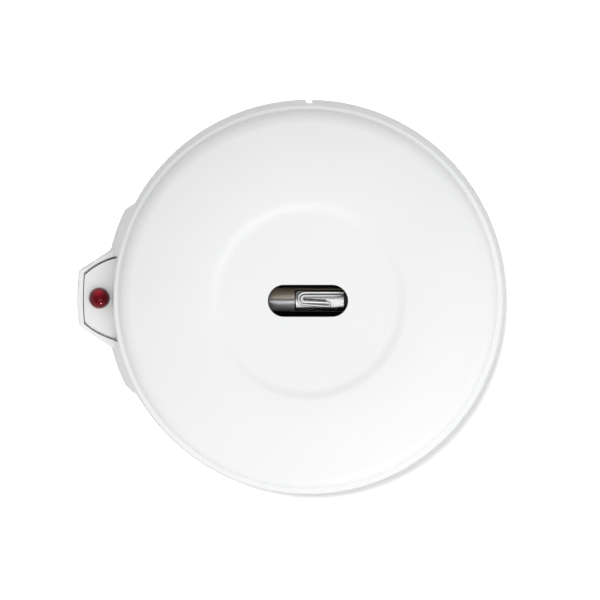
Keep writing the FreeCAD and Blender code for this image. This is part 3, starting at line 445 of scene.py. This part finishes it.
MATERIALS = {
    "white": white_plastic(),
    "black": solid_material("black_plastic", (0.012, 0.012, 0.013), (0.02, 0.02, 0.021), 80.0, 0.5),
    "rubber": solid_material("grey_rubber", (0.03, 0.03, 0.032), (0.05, 0.05, 0.052), 60.0, 0.75),
    "bush": solid_material("black_silicone", (0.008, 0.008, 0.009), (0.014, 0.014, 0.015), 60.0, 0.6),
    "mask": board_mask(),
    "steel": solid_material("plated_steel", (0.55, 0.55, 0.56), (0.68, 0.68, 0.69), 200.0, 0.28, 1.0),
    "tinned": solid_material("tinned_wire", (0.7, 0.69, 0.67), (0.8, 0.79, 0.77), 200.0, 0.22, 1.0),
    "glass": clear_glass(),
    "mirror": metal_film(),
    "electrode": electrode_metal("electrode_wire", (0.9, 0.89, 0.89), (0.94, 0.93, 0.93), 0.3),
    "plate": electrode_metal("electrode_plate", (0.4, 0.395, 0.395), (0.44, 0.435, 0.435), 0.12),
    "lamp": lamp_epoxy(),
    "wire": solid_material("wire_cover", (0.45, 0.02, 0.015), (0.55, 0.035, 0.025), 90.0, 0.45),
    "black_wire": solid_material("black_wire_cover", (0.012, 0.012, 0.013), (0.022, 0.022, 0.023), 90, 0.4),
    "can": solid_material("can_aluminium", (0.62, 0.62, 0.63), (0.7, 0.7, 0.71), 120.0, 0.3, 1.0),
    "stripe": solid_material("sleeve_stripe", (0.42, 0.43, 0.46), (0.5, 0.51, 0.54), 90.0, 0.35),
    "terminal": solid_material("terminal_green", (0.03, 0.19, 0.06), (0.04, 0.23, 0.08), 90.0, 0.42),
    "brass": solid_material("plated_brass", (0.66, 0.5, 0.2), (0.75, 0.58, 0.26), 160.0, 0.3, 1.0),
    "red": solid_material("red_plastic", (0.42, 0.02, 0.015), (0.5, 0.03, 0.02), 90.0, 0.4),
    "lever": solid_material("lever_white", (0.74, 0.74, 0.72), (0.8, 0.8, 0.78), 90.0, 0.4),
    "part": solid_material("part_black", (0.014, 0.014, 0.016), (0.025, 0.025, 0.027), 100.0, 0.45),
    "spring": solid_material("spring_steel", (0.5, 0.5, 0.5), (0.6, 0.6, 0.6), 200.0, 0.25, 1.0),
    "ferrite": solid_material("ferrite", (0.035, 0.035, 0.036), (0.055, 0.055, 0.056), 140.0, 0.7),
    "tape": solid_material("winding_tape", (0.55, 0.38, 0.04), (0.64, 0.46, 0.06), 120.0, 0.35),
    "relay": solid_material("relay_case", (0.012, 0.03, 0.11), (0.018, 0.04, 0.14), 70.0, 0.3),
    "sleeve": solid_material("can_sleeve", (0.01, 0.013, 0.06), (0.016, 0.02, 0.08), 70.0, 0.3),
    "film": solid_material("film_box", (0.42, 0.06, 0.025), (0.5, 0.075, 0.03), 70.0, 0.3),
    "absorber": solid_material("absorber_coat", (0.02, 0.07, 0.32), (0.03, 0.09, 0.38), 90.0, 0.35),
    "resistor": solid_material("resistor_glaze", (0.012, 0.012, 0.012), (0.02, 0.02, 0.02), 150.0, 0.3),
}

NODE_MATERIALS = {
    "base_plate": "white",
    "cover_shell": "white",
    "cable_grommet": "rubber",
    "main_board": "mask",
    "board_screws": "steel",
    "tube_holder": "black",
    "tube_bushes": "bush",
    "tube_bulb": "glass",
    "tube_mirror": "mirror",
    "anode_wire": "electrode",
    "cathode_plate": "plate",
    "lamp_lens": "lamp",
    "lamp_leads": "tinned",
    "lamp_board": "mask",
    "lamp_board_screw": "steel",
    "lamp_wires": "wire",
    "terminal_block": "terminal",
    "terminal_screws": "steel",
    "terminal_clamps": "brass",
    "setting_switch": "red",
    "setting_lever_1": "lever",
    "setting_lever_2": "lever",
    "setting_lever_3": "lever",
    "setting_lever_4": "lever",
    "cover_switch_body": "part",
    "cover_switch_plunger": "lever",
    "cover_switch_spring": "spring",
    "transformer_core": "ferrite",
    "transformer_winding": "tape",
    "alarm_relay": "relay",
    "electrolytic_capacitors": "sleeve",
    "film_capacitor": "film",
    "surge_absorber": "absorber",
    "controller_chip": "part",
    "chip_pins": "tinned",
    "chip_resistors": "resistor",
}


def paint(obj, key):
    obj.data.materials.clear()
    obj.data.materials.append(MATERIALS[key])


for node_name, key in NODE_MATERIALS.items():
    paint(nodes[node_name], key)


# Ultraviolet tube

def along_x(stations, steps=64):
    """A skin through sections across X; a station is x, half width, half height and squareness."""
    verts = []
    rings = []
    for x, half_y, half_z, squareness in stations:
        if half_y < 1e-6:
            rings.append([len(verts)] * steps)
            verts.append((x, 0.0, 0.0))
            continue
        ring = []
        for step in range(steps):
            turn = 2 * math.pi * step / steps
            y = math.copysign(abs(math.cos(turn)) ** (2 / squareness), math.cos(turn)) * half_y
            z = math.copysign(abs(math.sin(turn)) ** (2 / squareness), math.sin(turn)) * half_z
            ring.append(len(verts))
            verts.append((x, y, z))
        rings.append(ring)
    faces = []
    for near, far in zip(rings, rings[1:]):
        for step in range(steps):
            after = (step + 1) % steps
            corners = list(dict.fromkeys([near[step], near[after], far[after], far[step]]))
            if len(corners) > 2:
                faces.append(corners)
    return verts, faces


def dome_stations(left, radius, count, squash=1.0):
    """Sections of a round end that opens from the axis at its left."""
    stations = []
    for step in range(count + 1):
        angle = math.pi / 2 * step / count
        half = radius * math.sin(angle)
        stations.append((left + radius * squash * (1 - math.cos(angle)), half, half, 2.0))
    return stations


def glass_bulb():
    """A tube with a sealed-off tip at the left and a pressed seal at the right."""
    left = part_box("tube_bulb")[0][0] / MM
    outer = [(left, 0, 0, 2), (left + 0.12, 0.32, 0.32, 2)]
    outer.append((left + 0.45, TIP_RADIUS * 0.62, TIP_RADIUS * 0.62, 2))
    dome = dome_stations(left + TIP_LENGTH, GLASS_RADIUS, 12, 0.8)
    outer += [station for station in dome if station[1] > TIP_RADIUS]
    outer.append((GLASS_END - 3.0, GLASS_RADIUS, GLASS_RADIUS, 2))
    outer.append((GLASS_END - 1.6, GLASS_RADIUS * 0.99, GLASS_RADIUS * 0.97, 2))
    outer.append((GLASS_END - 0.6, GLASS_RADIUS * 0.93, GLASS_RADIUS * 0.82, 2.1))
    outer.append((GLASS_END + 0.2, GLASS_RADIUS * 0.82, GLASS_RADIUS * 0.58, 2.4))
    outer.append((PINCH_START, PINCH_HALF_WIDTH, PINCH_HALF_HEIGHT, 3.5))
    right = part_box("tube_bulb")[1][0] / MM
    outer.append((right - 0.35, PINCH_HALF_WIDTH, PINCH_HALF_HEIGHT, 3.8))
    outer.append((right, PINCH_HALF_WIDTH * 0.9, PINCH_HALF_HEIGHT * 0.8, 3.2))
    outer.append((right, 0, 0, 2))
    inner_radius = GLASS_RADIUS - GLASS_WALL
    inner = dome_stations(left + TIP_LENGTH + GLASS_WALL, inner_radius, 12, 0.85)
    inner.append((GLASS_END - 2.6, inner_radius, inner_radius, 2))
    inner.append((GLASS_END - 1.4, inner_radius * 0.9, inner_radius * 0.78, 2))
    inner.append((GLASS_END - 0.6, inner_radius * 0.6, inner_radius * 0.35, 2))
    inner.append((GLASS_END - 0.3, 0, 0, 2))
    verts, faces = along_x(outer)
    inner_verts, inner_faces = along_x(inner)
    start = len(verts)
    verts += inner_verts
    faces += [[start + corner for corner in reversed(face)] for face in inner_faces]
    bulb = new_object("glass_bulb", raised(verts), faces, 60.0)
    paint(bulb, "glass")
    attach(bulb, "base")
    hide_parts("tube_bulb")


def raised(verts):
    """Points given from the tube's axis, put at its height."""
    return [(x, y, z + TUBE_AXIS) for x, y, z in verts]


def coat_skin(name, left, right, first, last):
    """A thin sheet rolled round the tube's axis between two angles, in degrees."""
    across = max(8, int(abs(last - first) / 5))
    along = 24
    verts = []
    for radius in (COAT_RADIUS, COAT_RADIUS - COAT_THICKNESS):
        for row in range(along + 1):
            x = left + (right - left) * row / along
            for column in range(across + 1):
                turn = math.radians(first + (last - first) * column / across)
                verts.append((x, radius * math.cos(turn), radius * math.sin(turn)))
    layer = (along + 1) * (across + 1)
    faces = []

    def at(side, row, column):
        return side * layer + row * (across + 1) + column

    for row in range(along):
        for column in range(across):
            top = [at(0, row, column), at(0, row + 1, column)]
            top += [at(0, row + 1, column + 1), at(0, row, column + 1)]
            faces.append(top)
            faces.append([corner + layer for corner in reversed(top)])
    for row in range(along):
        for column, flip in ((0, False), (across, True)):
            side = [at(0, row, column), at(1, row, column), at(1, row + 1, column), at(0, row + 1, column)]
            faces.append(side[::-1] if flip else side)
    for column in range(across):
        for row, flip in ((0, True), (along, False)):
            side = [at(0, row, column), at(1, row, column), at(1, row, column + 1), at(0, row, column + 1)]
            faces.append(side[::-1] if flip else side)
    return new_object(name, raised(verts), faces, 50.0)


def mirror_coats():
    """The metal film inside the glass: all round at the left, along both flanks at the right."""
    pieces = [
        coat_skin("coat_sleeve", COAT_LEFT, COAT_EDGE, 90.0, 449.0),
        coat_skin("coat_back_high", COAT_EDGE + 0.02, COAT_BACK_END, 320.0, 395.0),
        coat_skin("coat_back_low", COAT_EDGE + 0.02, COAT_BACK_END, 165.0, 220.0),
    ]
    for piece in pieces:
        paint(piece, "mirror")
        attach(piece, "base")
        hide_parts("tube_mirror")


def round_wire(name, points, radius):
    """A round wire through points in millimetres."""
    data = bpy.data.curves.new(name, "CURVE")
    data.dimensions = "3D"
    data.bevel_depth = radius * MM
    data.bevel_resolution = 6
    data.use_fill_caps = True
    spline = data.splines.new("POLY")
    spline.points.add(len(points) - 1)
    for knot, point in zip(spline.points, points):
        knot.co = (*(c * MM for c in point), 1.0)
    curve = bpy.data.objects.new(name, data)
    mesh = bpy.data.meshes.new_from_object(curve)
    wire = bpy.data.objects.new(name, mesh)
    bpy.context.scene.collection.objects.link(wire)
    bpy.data.objects.remove(curve)
    return shade(wire, 50.0)


def rounded_points(points, radius, steps=8):
    """A path with its corners rounded by arcs of one radius."""
    corners = [Vector(point) for point in points]
    path = [corners[0]]
    for before, corner, after in zip(corners, corners[1:], corners[2:]):
        into = (corner - before).normalized()
        out = (after - corner).normalized()
        half_turn = into.angle(out) / 2
        trim = radius * math.tan(half_turn)
        centre = corner + (out - into).normalized() * radius / math.cos(half_turn)
        first = corner - into * trim - centre
        last = corner + out * trim - centre
        for step in range(steps + 1):
            path.append(centre + turned(first, last, step / steps))
    path.append(corners[-1])
    return path


def turned(first, last, share):
    """A direction part of the way from one to another, at the same length."""
    angle = first.angle(last)
    return (first * math.sin((1 - share) * angle) + last * math.sin(share * angle)) / math.sin(angle)


def half_ring(x, start_y, end_y, side, steps=14):
    """Points of a half circle at one end of the wire loop; side is 1 at the right and -1 at the left."""
    radius = abs(end_y - start_y) / 2
    middle = (start_y + end_y) / 2
    points = []
    for step in range(1, steps):
        turn = math.pi * step / steps
        y = middle + (start_y - middle) * math.cos(turn)
        points.append((x + side * radius * math.sin(turn), y, WIRE_HEIGHT))
    return points


def anode_loop():
    """One wire bent like a paper clip over the plate; one end stands in the board, the other in the seal."""
    lead = middle_lead()
    outer_right = LOOP_OUTER_LOW - LOOP_TILT
    inner_right = LOOP_INNER_LOW - LOOP_TILT / 2
    rise = [(lead, LOOP_OUTER_HIGH, BOARD_BOTTOM - TUBE_AXIS), (lead, LOOP_OUTER_HIGH, WIRE_HEIGHT)]
    rise.append((LOOP_LEFT, LOOP_OUTER_HIGH, WIRE_HEIGHT))
    path = [tuple(point) for point in rounded_points(rise, WIRE_BEND)]
    path += half_ring(LOOP_LEFT, LOOP_OUTER_HIGH, LOOP_OUTER_LOW, -1)
    path.append((LOOP_LEFT, LOOP_OUTER_LOW, WIRE_HEIGHT))
    path.append((LOOP_RIGHT, outer_right, WIRE_HEIGHT))
    path += half_ring(LOOP_RIGHT, outer_right, inner_right, 1)
    path.append((LOOP_RIGHT, inner_right, WIRE_HEIGHT))
    path.append((LOOP_LEFT, LOOP_INNER_LOW, WIRE_HEIGHT))
    path += half_ring(LOOP_LEFT, LOOP_INNER_LOW, LOOP_INNER_HIGH, -1)
    path.append((LOOP_LEFT, LOOP_INNER_HIGH, WIRE_HEIGHT))
    path.append((PINCH_START + 1.0, LOOP_INNER_HIGH, WIRE_HEIGHT * 0.4))
    wire = round_wire("anode_loop", raised(path), WIRE_RADIUS)
    flatten(wire, TUBE_AXIS + WIRE_HEIGHT)
    paint(wire, "electrode")
    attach(wire, "base")
    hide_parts("anode_wire")


def flatten(wire, height):
    """Presses the level run of a wire flatter about its own height."""
    for vert in wire.data.vertices:
        apart = vert.co.z - height * MM
        if abs(apart) <= WIRE_RADIUS * MM * 1.01:
            vert.co.z = height * MM + apart * WIRE_FLATNESS


def middle_lead():
    """Where both leads come down beside the seal."""
    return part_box("anode_wire")[1][0] / MM - WIRE_RADIUS


def plate_height(x, y):
    """The plate is bowed across its width and swept up a little towards both ends."""
    bow = PLATE_CURVE - math.sqrt(PLATE_CURVE**2 - y**2)
    sweep = PLATE_SWEEP - math.sqrt(PLATE_SWEEP**2 - (x - SLIT_X) ** 2)
    return PLATE_CROWN - bow + sweep


def cathode_sheet():
    """A bowed plate with rounded corners and a slit, and the stem that holds it."""
    columns = 60
    rows = 28
    verts = []
    for layer in (0, 1):
        for column in range(columns + 1):
            x = PLATE_LEFT + (PLATE_RIGHT - PLATE_LEFT) * column / columns
            from_end = min(x - PLATE_LEFT, PLATE_RIGHT - x, PLATE_CORNER)
            trim = PLATE_CORNER - math.sqrt(PLATE_CORNER**2 - (PLATE_CORNER - from_end) ** 2)
            low = PLATE_LOW + trim
            high = PLATE_HIGH - trim
            for row in range(rows + 1):
                y = low + (high - low) * row / rows
                verts.append((x, y, plate_height(x, y) - layer * PLATE_THICKNESS))
    layer_size = (columns + 1) * (rows + 1)
    faces = []

    def at(column, row):
        return column * (rows + 1) + row

    for column in range(columns):
        for row in range(rows):
            top = [at(column, row), at(column + 1, row), at(column + 1, row + 1), at(column, row + 1)]
            faces.append(top)
            faces.append([corner + layer_size for corner in reversed(top)])
    edge = [at(column, 0) for column in range(columns + 1)]
    edge += [at(columns, row) for row in range(1, rows + 1)]
    edge += [at(column, rows) for column in range(columns - 1, -1, -1)]
    edge += [at(0, row) for row in range(rows - 1, 0, -1)]
    for near, far in zip(edge, edge[1:] + edge[:1]):
        faces.append([far, near, near + layer_size, far + layer_size])
    sheet = new_object("cathode_sheet", raised(verts), faces, 30.0)
    slit_outline = turned_outline(stadium_outline(SLIT_LENGTH, SLIT_WIDTH, 10))
    cut(sheet, prism("slit", slit_outline, TUBE_AXIS - 2, TUBE_AXIS + 2))
    shade(sheet, 30.0)
    stem_height = plate_height(STEM_START, STEM_OFFSET) - PLATE_THICKNESS - WIRE_RADIUS * 0.8
    lead = middle_lead()
    corners = [(STEM_START, -STEM_OFFSET, stem_height), (lead, -STEM_OFFSET, stem_height)]
    corners.append((lead, -STEM_OFFSET, BOARD_BOTTOM - TUBE_AXIS))
    stem = round_wire("cathode_stem", raised(rounded_points(corners, WIRE_BEND)), WIRE_RADIUS)
    for piece, key in ((sheet, "plate"), (stem, "electrode")):
        paint(piece, key)
        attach(piece, "base")
        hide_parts("cathode_plate")


def turned_outline(outline):
    """The slit's outline, tilted and put in its place on the plate."""
    turn = math.radians(SLIT_TILT)
    placed = []
    for x, y in outline:
        across = x * math.cos(turn) - y * math.sin(turn)
        upwards = x * math.sin(turn) + y * math.cos(turn)
        placed.append((SLIT_X + across, SLIT_Y + upwards))
    return placed


# Indicator lamp

def lamp_dome():
    """A round-topped lens with a flange."""
    centre = middle_of("lamp_lens")
    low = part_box("lamp_lens")[0][2] / MM
    tip = top_of("lamp_lens")
    dome_base = tip - LENS_RADIUS
    flange_top = low + LENS_FLANGE_HEIGHT
    profile = [(0, low), (LENS_FLANGE_RADIUS - 0.08, low), (LENS_FLANGE_RADIUS, low + 0.08)]
    profile += [(LENS_FLANGE_RADIUS, flange_top - 0.12), (LENS_FLANGE_RADIUS - 0.12, flange_top)]
    profile += [(LENS_RADIUS + 0.08, flange_top), (LENS_RADIUS - 0.02, flange_top + 0.1)]
    profile += arc_points((0, dome_base), LENS_RADIUS - 0.01, 0, 90, 24)
    profile[-1] = (0, tip)
    lens = lathe("lamp_dome", profile, 96, close=False, smooth_angle=40.0)
    place(lens, centre.x, 0, 0)
    paint(lens, "lamp")
    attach(lens, "base")
    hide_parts("lamp_lens")
    return lens


def lamp_ring():
    """A thin raised lip of the cover round the lamp's hole."""
    centre = middle_of("lamp_lens")
    inner = LENS_RADIUS + RING_CLEARANCE
    outer = inner + RING_WIDTH
    profile = [(inner, RING_TOP - RING_DEPTH), (inner, RING_TOP - 0.06), (inner + 0.06, RING_TOP)]
    profile += [(outer - 0.16, RING_TOP), (outer - 0.06, RING_TOP - 0.04), (outer, RING_TOP - 0.12)]
    profile.append((outer, RING_TOP - RING_DEPTH))
    ring = lathe("lamp_ring", profile, 96)
    place(ring, centre.x, 0, 0)
    paint(ring, "white")
    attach(ring, "cover")


# Parts on the boards

def upright_can(name, x, y, radius, height):
    """A sleeved capacitor can with a crimped neck, a scored metal top and a stripe down its side."""
    neck = radius - CAN_CRIMP_DEPTH
    shoulder = height - CAN_ROUNDING
    profile = [(0, 0), (radius - 0.25, 0), (radius, 0.25), (radius, 0.9), (neck, 1.15), (neck, 1.45)]
    profile += [(radius, CAN_CRIMP_TOP), (radius, shoulder)]
    profile += arc_points((radius - CAN_ROUNDING, shoulder), CAN_ROUNDING, 0, 90, 8)
    profile += [(radius - CAN_RIM, height), (radius - CAN_RIM, height - 0.3), (0, height - 0.3)]
    sleeve = lathe(name + "_sleeve", profile, 96, close=False, smooth_angle=40.0)
    top_radius = radius - CAN_RIM - 0.02
    top_profile = [(0, height - 0.6), (top_radius, height - 0.6), (top_radius, height - 0.16)]
    top_profile += [(top_radius - 0.08, height - 0.1), (0, height - 0.1)]
    top = lathe(name + "_top", top_profile, 72, close=False)
    for turn in (0, 60, 120):
        score = prism("score", stadium_outline(1.5 * radius, CAN_SCORE, 6), height - 0.25, height + 0.1)
        score.data.transform(Matrix.Rotation(math.radians(turn), 4, "Z"))
        cut(top, score)
    shade(top)
    stripe_outline = arc_points((0, 0), radius + 0.008, 160, 200, 12)
    stripe_outline += arc_points((0, 0), radius - 0.1, 200, 160, 12)
    stripe = prism(name + "_stripe", stripe_outline, CAN_CRIMP_TOP + 0.2, height - 0.6)
    for piece, key in ((sleeve, "sleeve"), (top, "can"), (stripe, "stripe")):
        place(piece, x, y, BOARD_TOP)
        paint(piece, key)
        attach(piece, "base")
        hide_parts("electrolytic_capacitors")


def solder_joint(name, x, y, height, wire_radius):
    """A tinned fillet round a lead."""
    fillet = ((0.65, 0), (0.62, 0.05), (0.38, 0.14), (0.16, 0.36), (0.05, 0.7), (-0.05, SOLDER_HEIGHT))
    profile = [(0, 0)]
    profile += [(wire_radius + out, up) for out, up in fillet]
    profile.append((0, SOLDER_HEIGHT))
    joint = lathe(name, profile, 32, close=False, smooth_angle=60.0)
    place(joint, x, y, height)
    paint(joint, "tinned")
    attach(joint, "base")


def lamp_wiring():
    """A red and a black wire from the lamp's board to the main board, soldered at both ends."""
    low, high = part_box("lamp_wires")
    start = low[0] / MM + LAMP_WIRE_RADIUS
    end = high[0] / MM - LAMP_WIRE_RADIUS
    side = high[1] / MM - LAMP_WIRE_RADIUS
    crest = high[2] / MM - LAMP_WIRE_RADIUS
    lamp_board_top = top_of("lamp_board")
    for y, key in ((side, "wire"), (-side, "black_wire")):
        corners = [(start, y, lamp_board_top + WIRE_LIFT), (start, y, crest)]
        corners += [(end, y, crest), (end, y, BOARD_TOP + WIRE_LIFT)]
        path = rounded_points(corners, LAMP_WIRE_BEND)
        wire = round_wire("lamp_" + key, [tuple(point) for point in path], LAMP_WIRE_RADIUS)
        paint(wire, key)
        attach(wire, "base")
        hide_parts("lamp_wires")
        solder_joint(key + "_joint_lamp", start, y, lamp_board_top, LAMP_WIRE_RADIUS)
        solder_joint(key + "_joint_board", end, y, BOARD_TOP, LAMP_WIRE_RADIUS)


def seal_foils():
    """The two thin foils that carry the current through the tube's pressed seal."""
    for number, y in enumerate((LOOP_INNER_HIGH, -STEM_OFFSET)):
        outline = stadium_outline(FOIL_LENGTH, 2 * FOIL_HALF_WIDTH, 8)
        foil = prism("seal_foil_%d" % number, outline, -FOIL_THICKNESS / 2, FOIL_THICKNESS / 2)
        place(foil, PINCH_START + FOIL_LENGTH / 2 - 0.1, y, TUBE_AXIS)
        paint(foil, "tinned")
        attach(foil, "base")


glass_bulb()
mirror_coats()
anode_loop()
cathode_sheet()
lens = lamp_dome()
lamp_ring()
upright_can("large_can", *LARGE_CAN)
upright_can("small_can", *SMALL_CAN)
lamp_wiring()
seal_foils()
for number, y in enumerate((LOOP_OUTER_HIGH, -STEM_OFFSET)):
    solder_joint("tube_joint_%d" % number, middle_lead(), y, BOARD_TOP, WIRE_RADIUS)


# Stage, lights and camera

FLOOR_DROP = 0.1
FLOOR_RADIUS = 3000.0
FLOOR_CLEAR = 1.5
FLOOR_SEEN = 0.7
FLOOR_BOUNCE = 0.31
FLOOR_MIRRORED = 0.25
LAMP_DISTANCE = 1.6
KEY_AZIMUTH = 300.0
KEY_LEAN = 20.0
KEY_SIZE = 0.94
KEY_POWER = 5.2
WORLD_LEVEL = 0.765
WORLD_SLOPE = 0.25
WORLD_AZIMUTH = 305.0
CEILING_LEVEL = 0.45
CEILING_START = 0.35
CEILING_FULL = 0.6
SIDE_AZIMUTH = 294.0
SIDE_LEAN = 57.0
SIDE_SIZE = 0.8
SIDE_POWER = 3.8
FLOOR_LAMP_AZIMUTH = 125.0
FLOOR_LAMP_LEAN = 11.0
FLOOR_LAMP_DISTANCE = 3.0
FLOOR_LAMP_SIZE = 0.42
FLOOR_LAMP_POWER = 100.0
GLINT_AZIMUTH = 288.0
GLINT_LEAN = 66.0
GLINT_SIZE = 0.14
GLINT_POWER = 15.0


def stage_floor():
    """A plain white floor that keeps the object's shadow; clear from below and to what lies on it."""
    outline = arc_points((0, 0), FLOOR_RADIUS, 0, 355, 71)
    floor = new_object("floor", [(x, y, -FLOOR_DROP) for x, y in outline], [list(range(len(outline)))])
    material, tree, shader = new_material("floor_white")
    tree.nodes.remove(shader)
    plain = tree.nodes.new("ShaderNodeBsdfDiffuse")
    tone = tree.nodes.new("ShaderNodeMix")
    tone.data_type = "RGBA"
    tone.inputs["A"].default_value = (FLOOR_BOUNCE, FLOOR_BOUNCE, FLOOR_BOUNCE, 1)
    tone.inputs["B"].default_value = (FLOOR_SEEN, FLOOR_SEEN, FLOOR_SEEN, 1)
    path = tree.nodes.new("ShaderNodeLightPath")
    mirrored = link_math(tree, "MULTIPLY", shiny_ray(tree, path), FLOOR_MIRRORED)
    seen = link_math(tree, "MAXIMUM", path.outputs["Is Camera Ray"], mirrored)
    tree.links.new(seen, tone.inputs["Factor"])
    tree.links.new(tone.outputs["Result"], plain.inputs["Color"])
    clear = tree.nodes.new("ShaderNodeBsdfTransparent")
    side = tree.nodes.new("ShaderNodeNewGeometry")
    near = link_math(tree, "LESS_THAN", path.outputs["Ray Length"], FLOOR_CLEAR * MM)
    mix = tree.nodes.new("ShaderNodeMixShader")
    tree.links.new(link_math(tree, "MAXIMUM", side.outputs["Backfacing"], near), mix.inputs["Fac"])
    tree.links.new(plain.outputs[0], mix.inputs[1])
    tree.links.new(clear.outputs[0], mix.inputs[2])
    tree.links.new(mix.outputs[0], tree.nodes["Material Output"].inputs["Surface"])
    floor.data.materials.append(material)
    return floor


def world_light():
    """A pale room, brighter on one side; gloss and glass see it white with a darker ceiling."""
    world = bpy.data.worlds.new("world")
    bpy.context.scene.world = world
    world.use_nodes = True
    tree = world.node_tree
    plain = tree.nodes["Background"]
    white = tree.nodes.new("ShaderNodeBackground")
    gloss = tree.nodes.new("ShaderNodeBackground")
    for background in (plain, white, gloss):
        background.inputs["Color"].default_value = (1, 1, 1, 1)
    places = tree.nodes.new("ShaderNodeTexCoord")
    parts = tree.nodes.new("ShaderNodeSeparateXYZ")
    tree.links.new(places.outputs["Generated"], parts.inputs[0])
    turn = math.radians(WORLD_AZIMUTH)
    sideways = link_math(tree, "MULTIPLY", parts.outputs["X"], WORLD_LEVEL * WORLD_SLOPE * math.cos(turn))
    upwards = link_math(tree, "MULTIPLY", parts.outputs["Y"], WORLD_LEVEL * WORLD_SLOPE * math.sin(turn))
    slope = link_math(tree, "ADD", sideways, upwards)
    tree.links.new(link_math(tree, "ADD", slope, WORLD_LEVEL), plain.inputs["Strength"])
    overhead = tree.nodes.new("ShaderNodeMapRange")
    overhead.interpolation_type = "SMOOTHSTEP"
    overhead.inputs["From Min"].default_value = CEILING_START
    overhead.inputs["From Max"].default_value = CEILING_FULL
    tree.links.new(parts.outputs["Z"], overhead.inputs["Value"])
    strength = link_math(tree, "MULTIPLY", overhead.outputs["Result"], CEILING_LEVEL - 1.0)
    strength = link_math(tree, "ADD", strength, 1.0)
    tree.links.new(strength, gloss.inputs["Strength"])
    path = tree.nodes.new("ShaderNodeLightPath")
    first = tree.nodes.new("ShaderNodeMixShader")
    tree.links.new(shiny_ray(tree, path), first.inputs["Fac"])
    tree.links.new(plain.outputs[0], first.inputs[1])
    tree.links.new(gloss.outputs[0], first.inputs[2])
    second = tree.nodes.new("ShaderNodeMixShader")
    tree.links.new(path.outputs["Is Camera Ray"], second.inputs["Fac"])
    tree.links.new(first.outputs[0], second.inputs[1])
    tree.links.new(white.outputs[0], second.inputs[2])
    tree.links.new(second.outputs[0], tree.nodes["World Output"].inputs["Surface"])


def soft_lamp(name, azimuth, lean, distance, size, power):
    """A square area lamp that faces the object; azimuth and lean from the vertical in degrees."""
    data = bpy.data.lights.new(name, "AREA")
    data.shape = "SQUARE"
    data.size = size
    data.energy = power
    lamp = bpy.data.objects.new(name, data)
    bpy.context.scene.collection.objects.link(lamp)
    across = math.sin(math.radians(lean))
    turn = math.radians(azimuth)
    away = Vector((across * math.cos(turn), across * math.sin(turn), math.cos(math.radians(lean))))
    lamp.location = away * distance
    lamp.rotation_euler = facing(away)
    return lamp


def light_only(lamp, receiver):
    """Keeps a lamp's light to one object; the others still cast its shadow."""
    group = bpy.data.collections.new(lamp.name + "_receiver")
    group.objects.link(receiver)
    lamp.light_linking.receiver_collection = group


def facing(away):
    """A rotation whose local Z points away along a direction, with local Y as near +Y as it can be."""
    across = Vector((0, 1, 0)).cross(away).normalized()
    upward = away.cross(across)
    return Matrix((across, upward, away)).transposed().to_euler()


def photo_camera():
    data = bpy.data.cameras.new("camera")
    camera = bpy.data.objects.new("camera", data)
    bpy.context.scene.collection.objects.link(camera)
    width_mm = PICTURE_PX / SCALE_PX_PER_MM
    data.sensor_width = 36.0
    data.lens = data.sensor_width * CAMERA_DISTANCE / width_mm
    middle = PICTURE_PX / 2
    target = Vector((middle - CENTRE_PX[0], CENTRE_PX[1] - middle, 0)) / SCALE_PX_PER_MM
    up = math.radians(TILT_UP)
    right = math.radians(TILT_RIGHT)
    towards = Vector((math.sin(right), math.sin(up), math.cos(up) * math.cos(right))).normalized()
    camera.location = (target + towards * CAMERA_DISTANCE) * MM
    camera.rotation_euler = facing(towards)
    data.clip_start = 0.05
    data.clip_end = 20.0
    bpy.context.scene.camera = camera


bpy.context.scene.view_settings.view_transform = "Standard"
floor = stage_floor()
world_light()
soft_lamp("key", KEY_AZIMUTH, KEY_LEAN, LAMP_DISTANCE, KEY_SIZE, KEY_POWER)
soft_lamp("side", SIDE_AZIMUTH, SIDE_LEAN, LAMP_DISTANCE, SIDE_SIZE, SIDE_POWER)
glint = soft_lamp("glint", GLINT_AZIMUTH, GLINT_LEAN, LAMP_DISTANCE, GLINT_SIZE, GLINT_POWER)
light_only(glint, lens)
floor_lamp = soft_lamp(
    "floor_lamp",
    FLOOR_LAMP_AZIMUTH,
    FLOOR_LAMP_LEAN,
    FLOOR_LAMP_DISTANCE,
    FLOOR_LAMP_SIZE,
    FLOOR_LAMP_POWER,
)
light_only(floor_lamp, floor)
photo_camera()
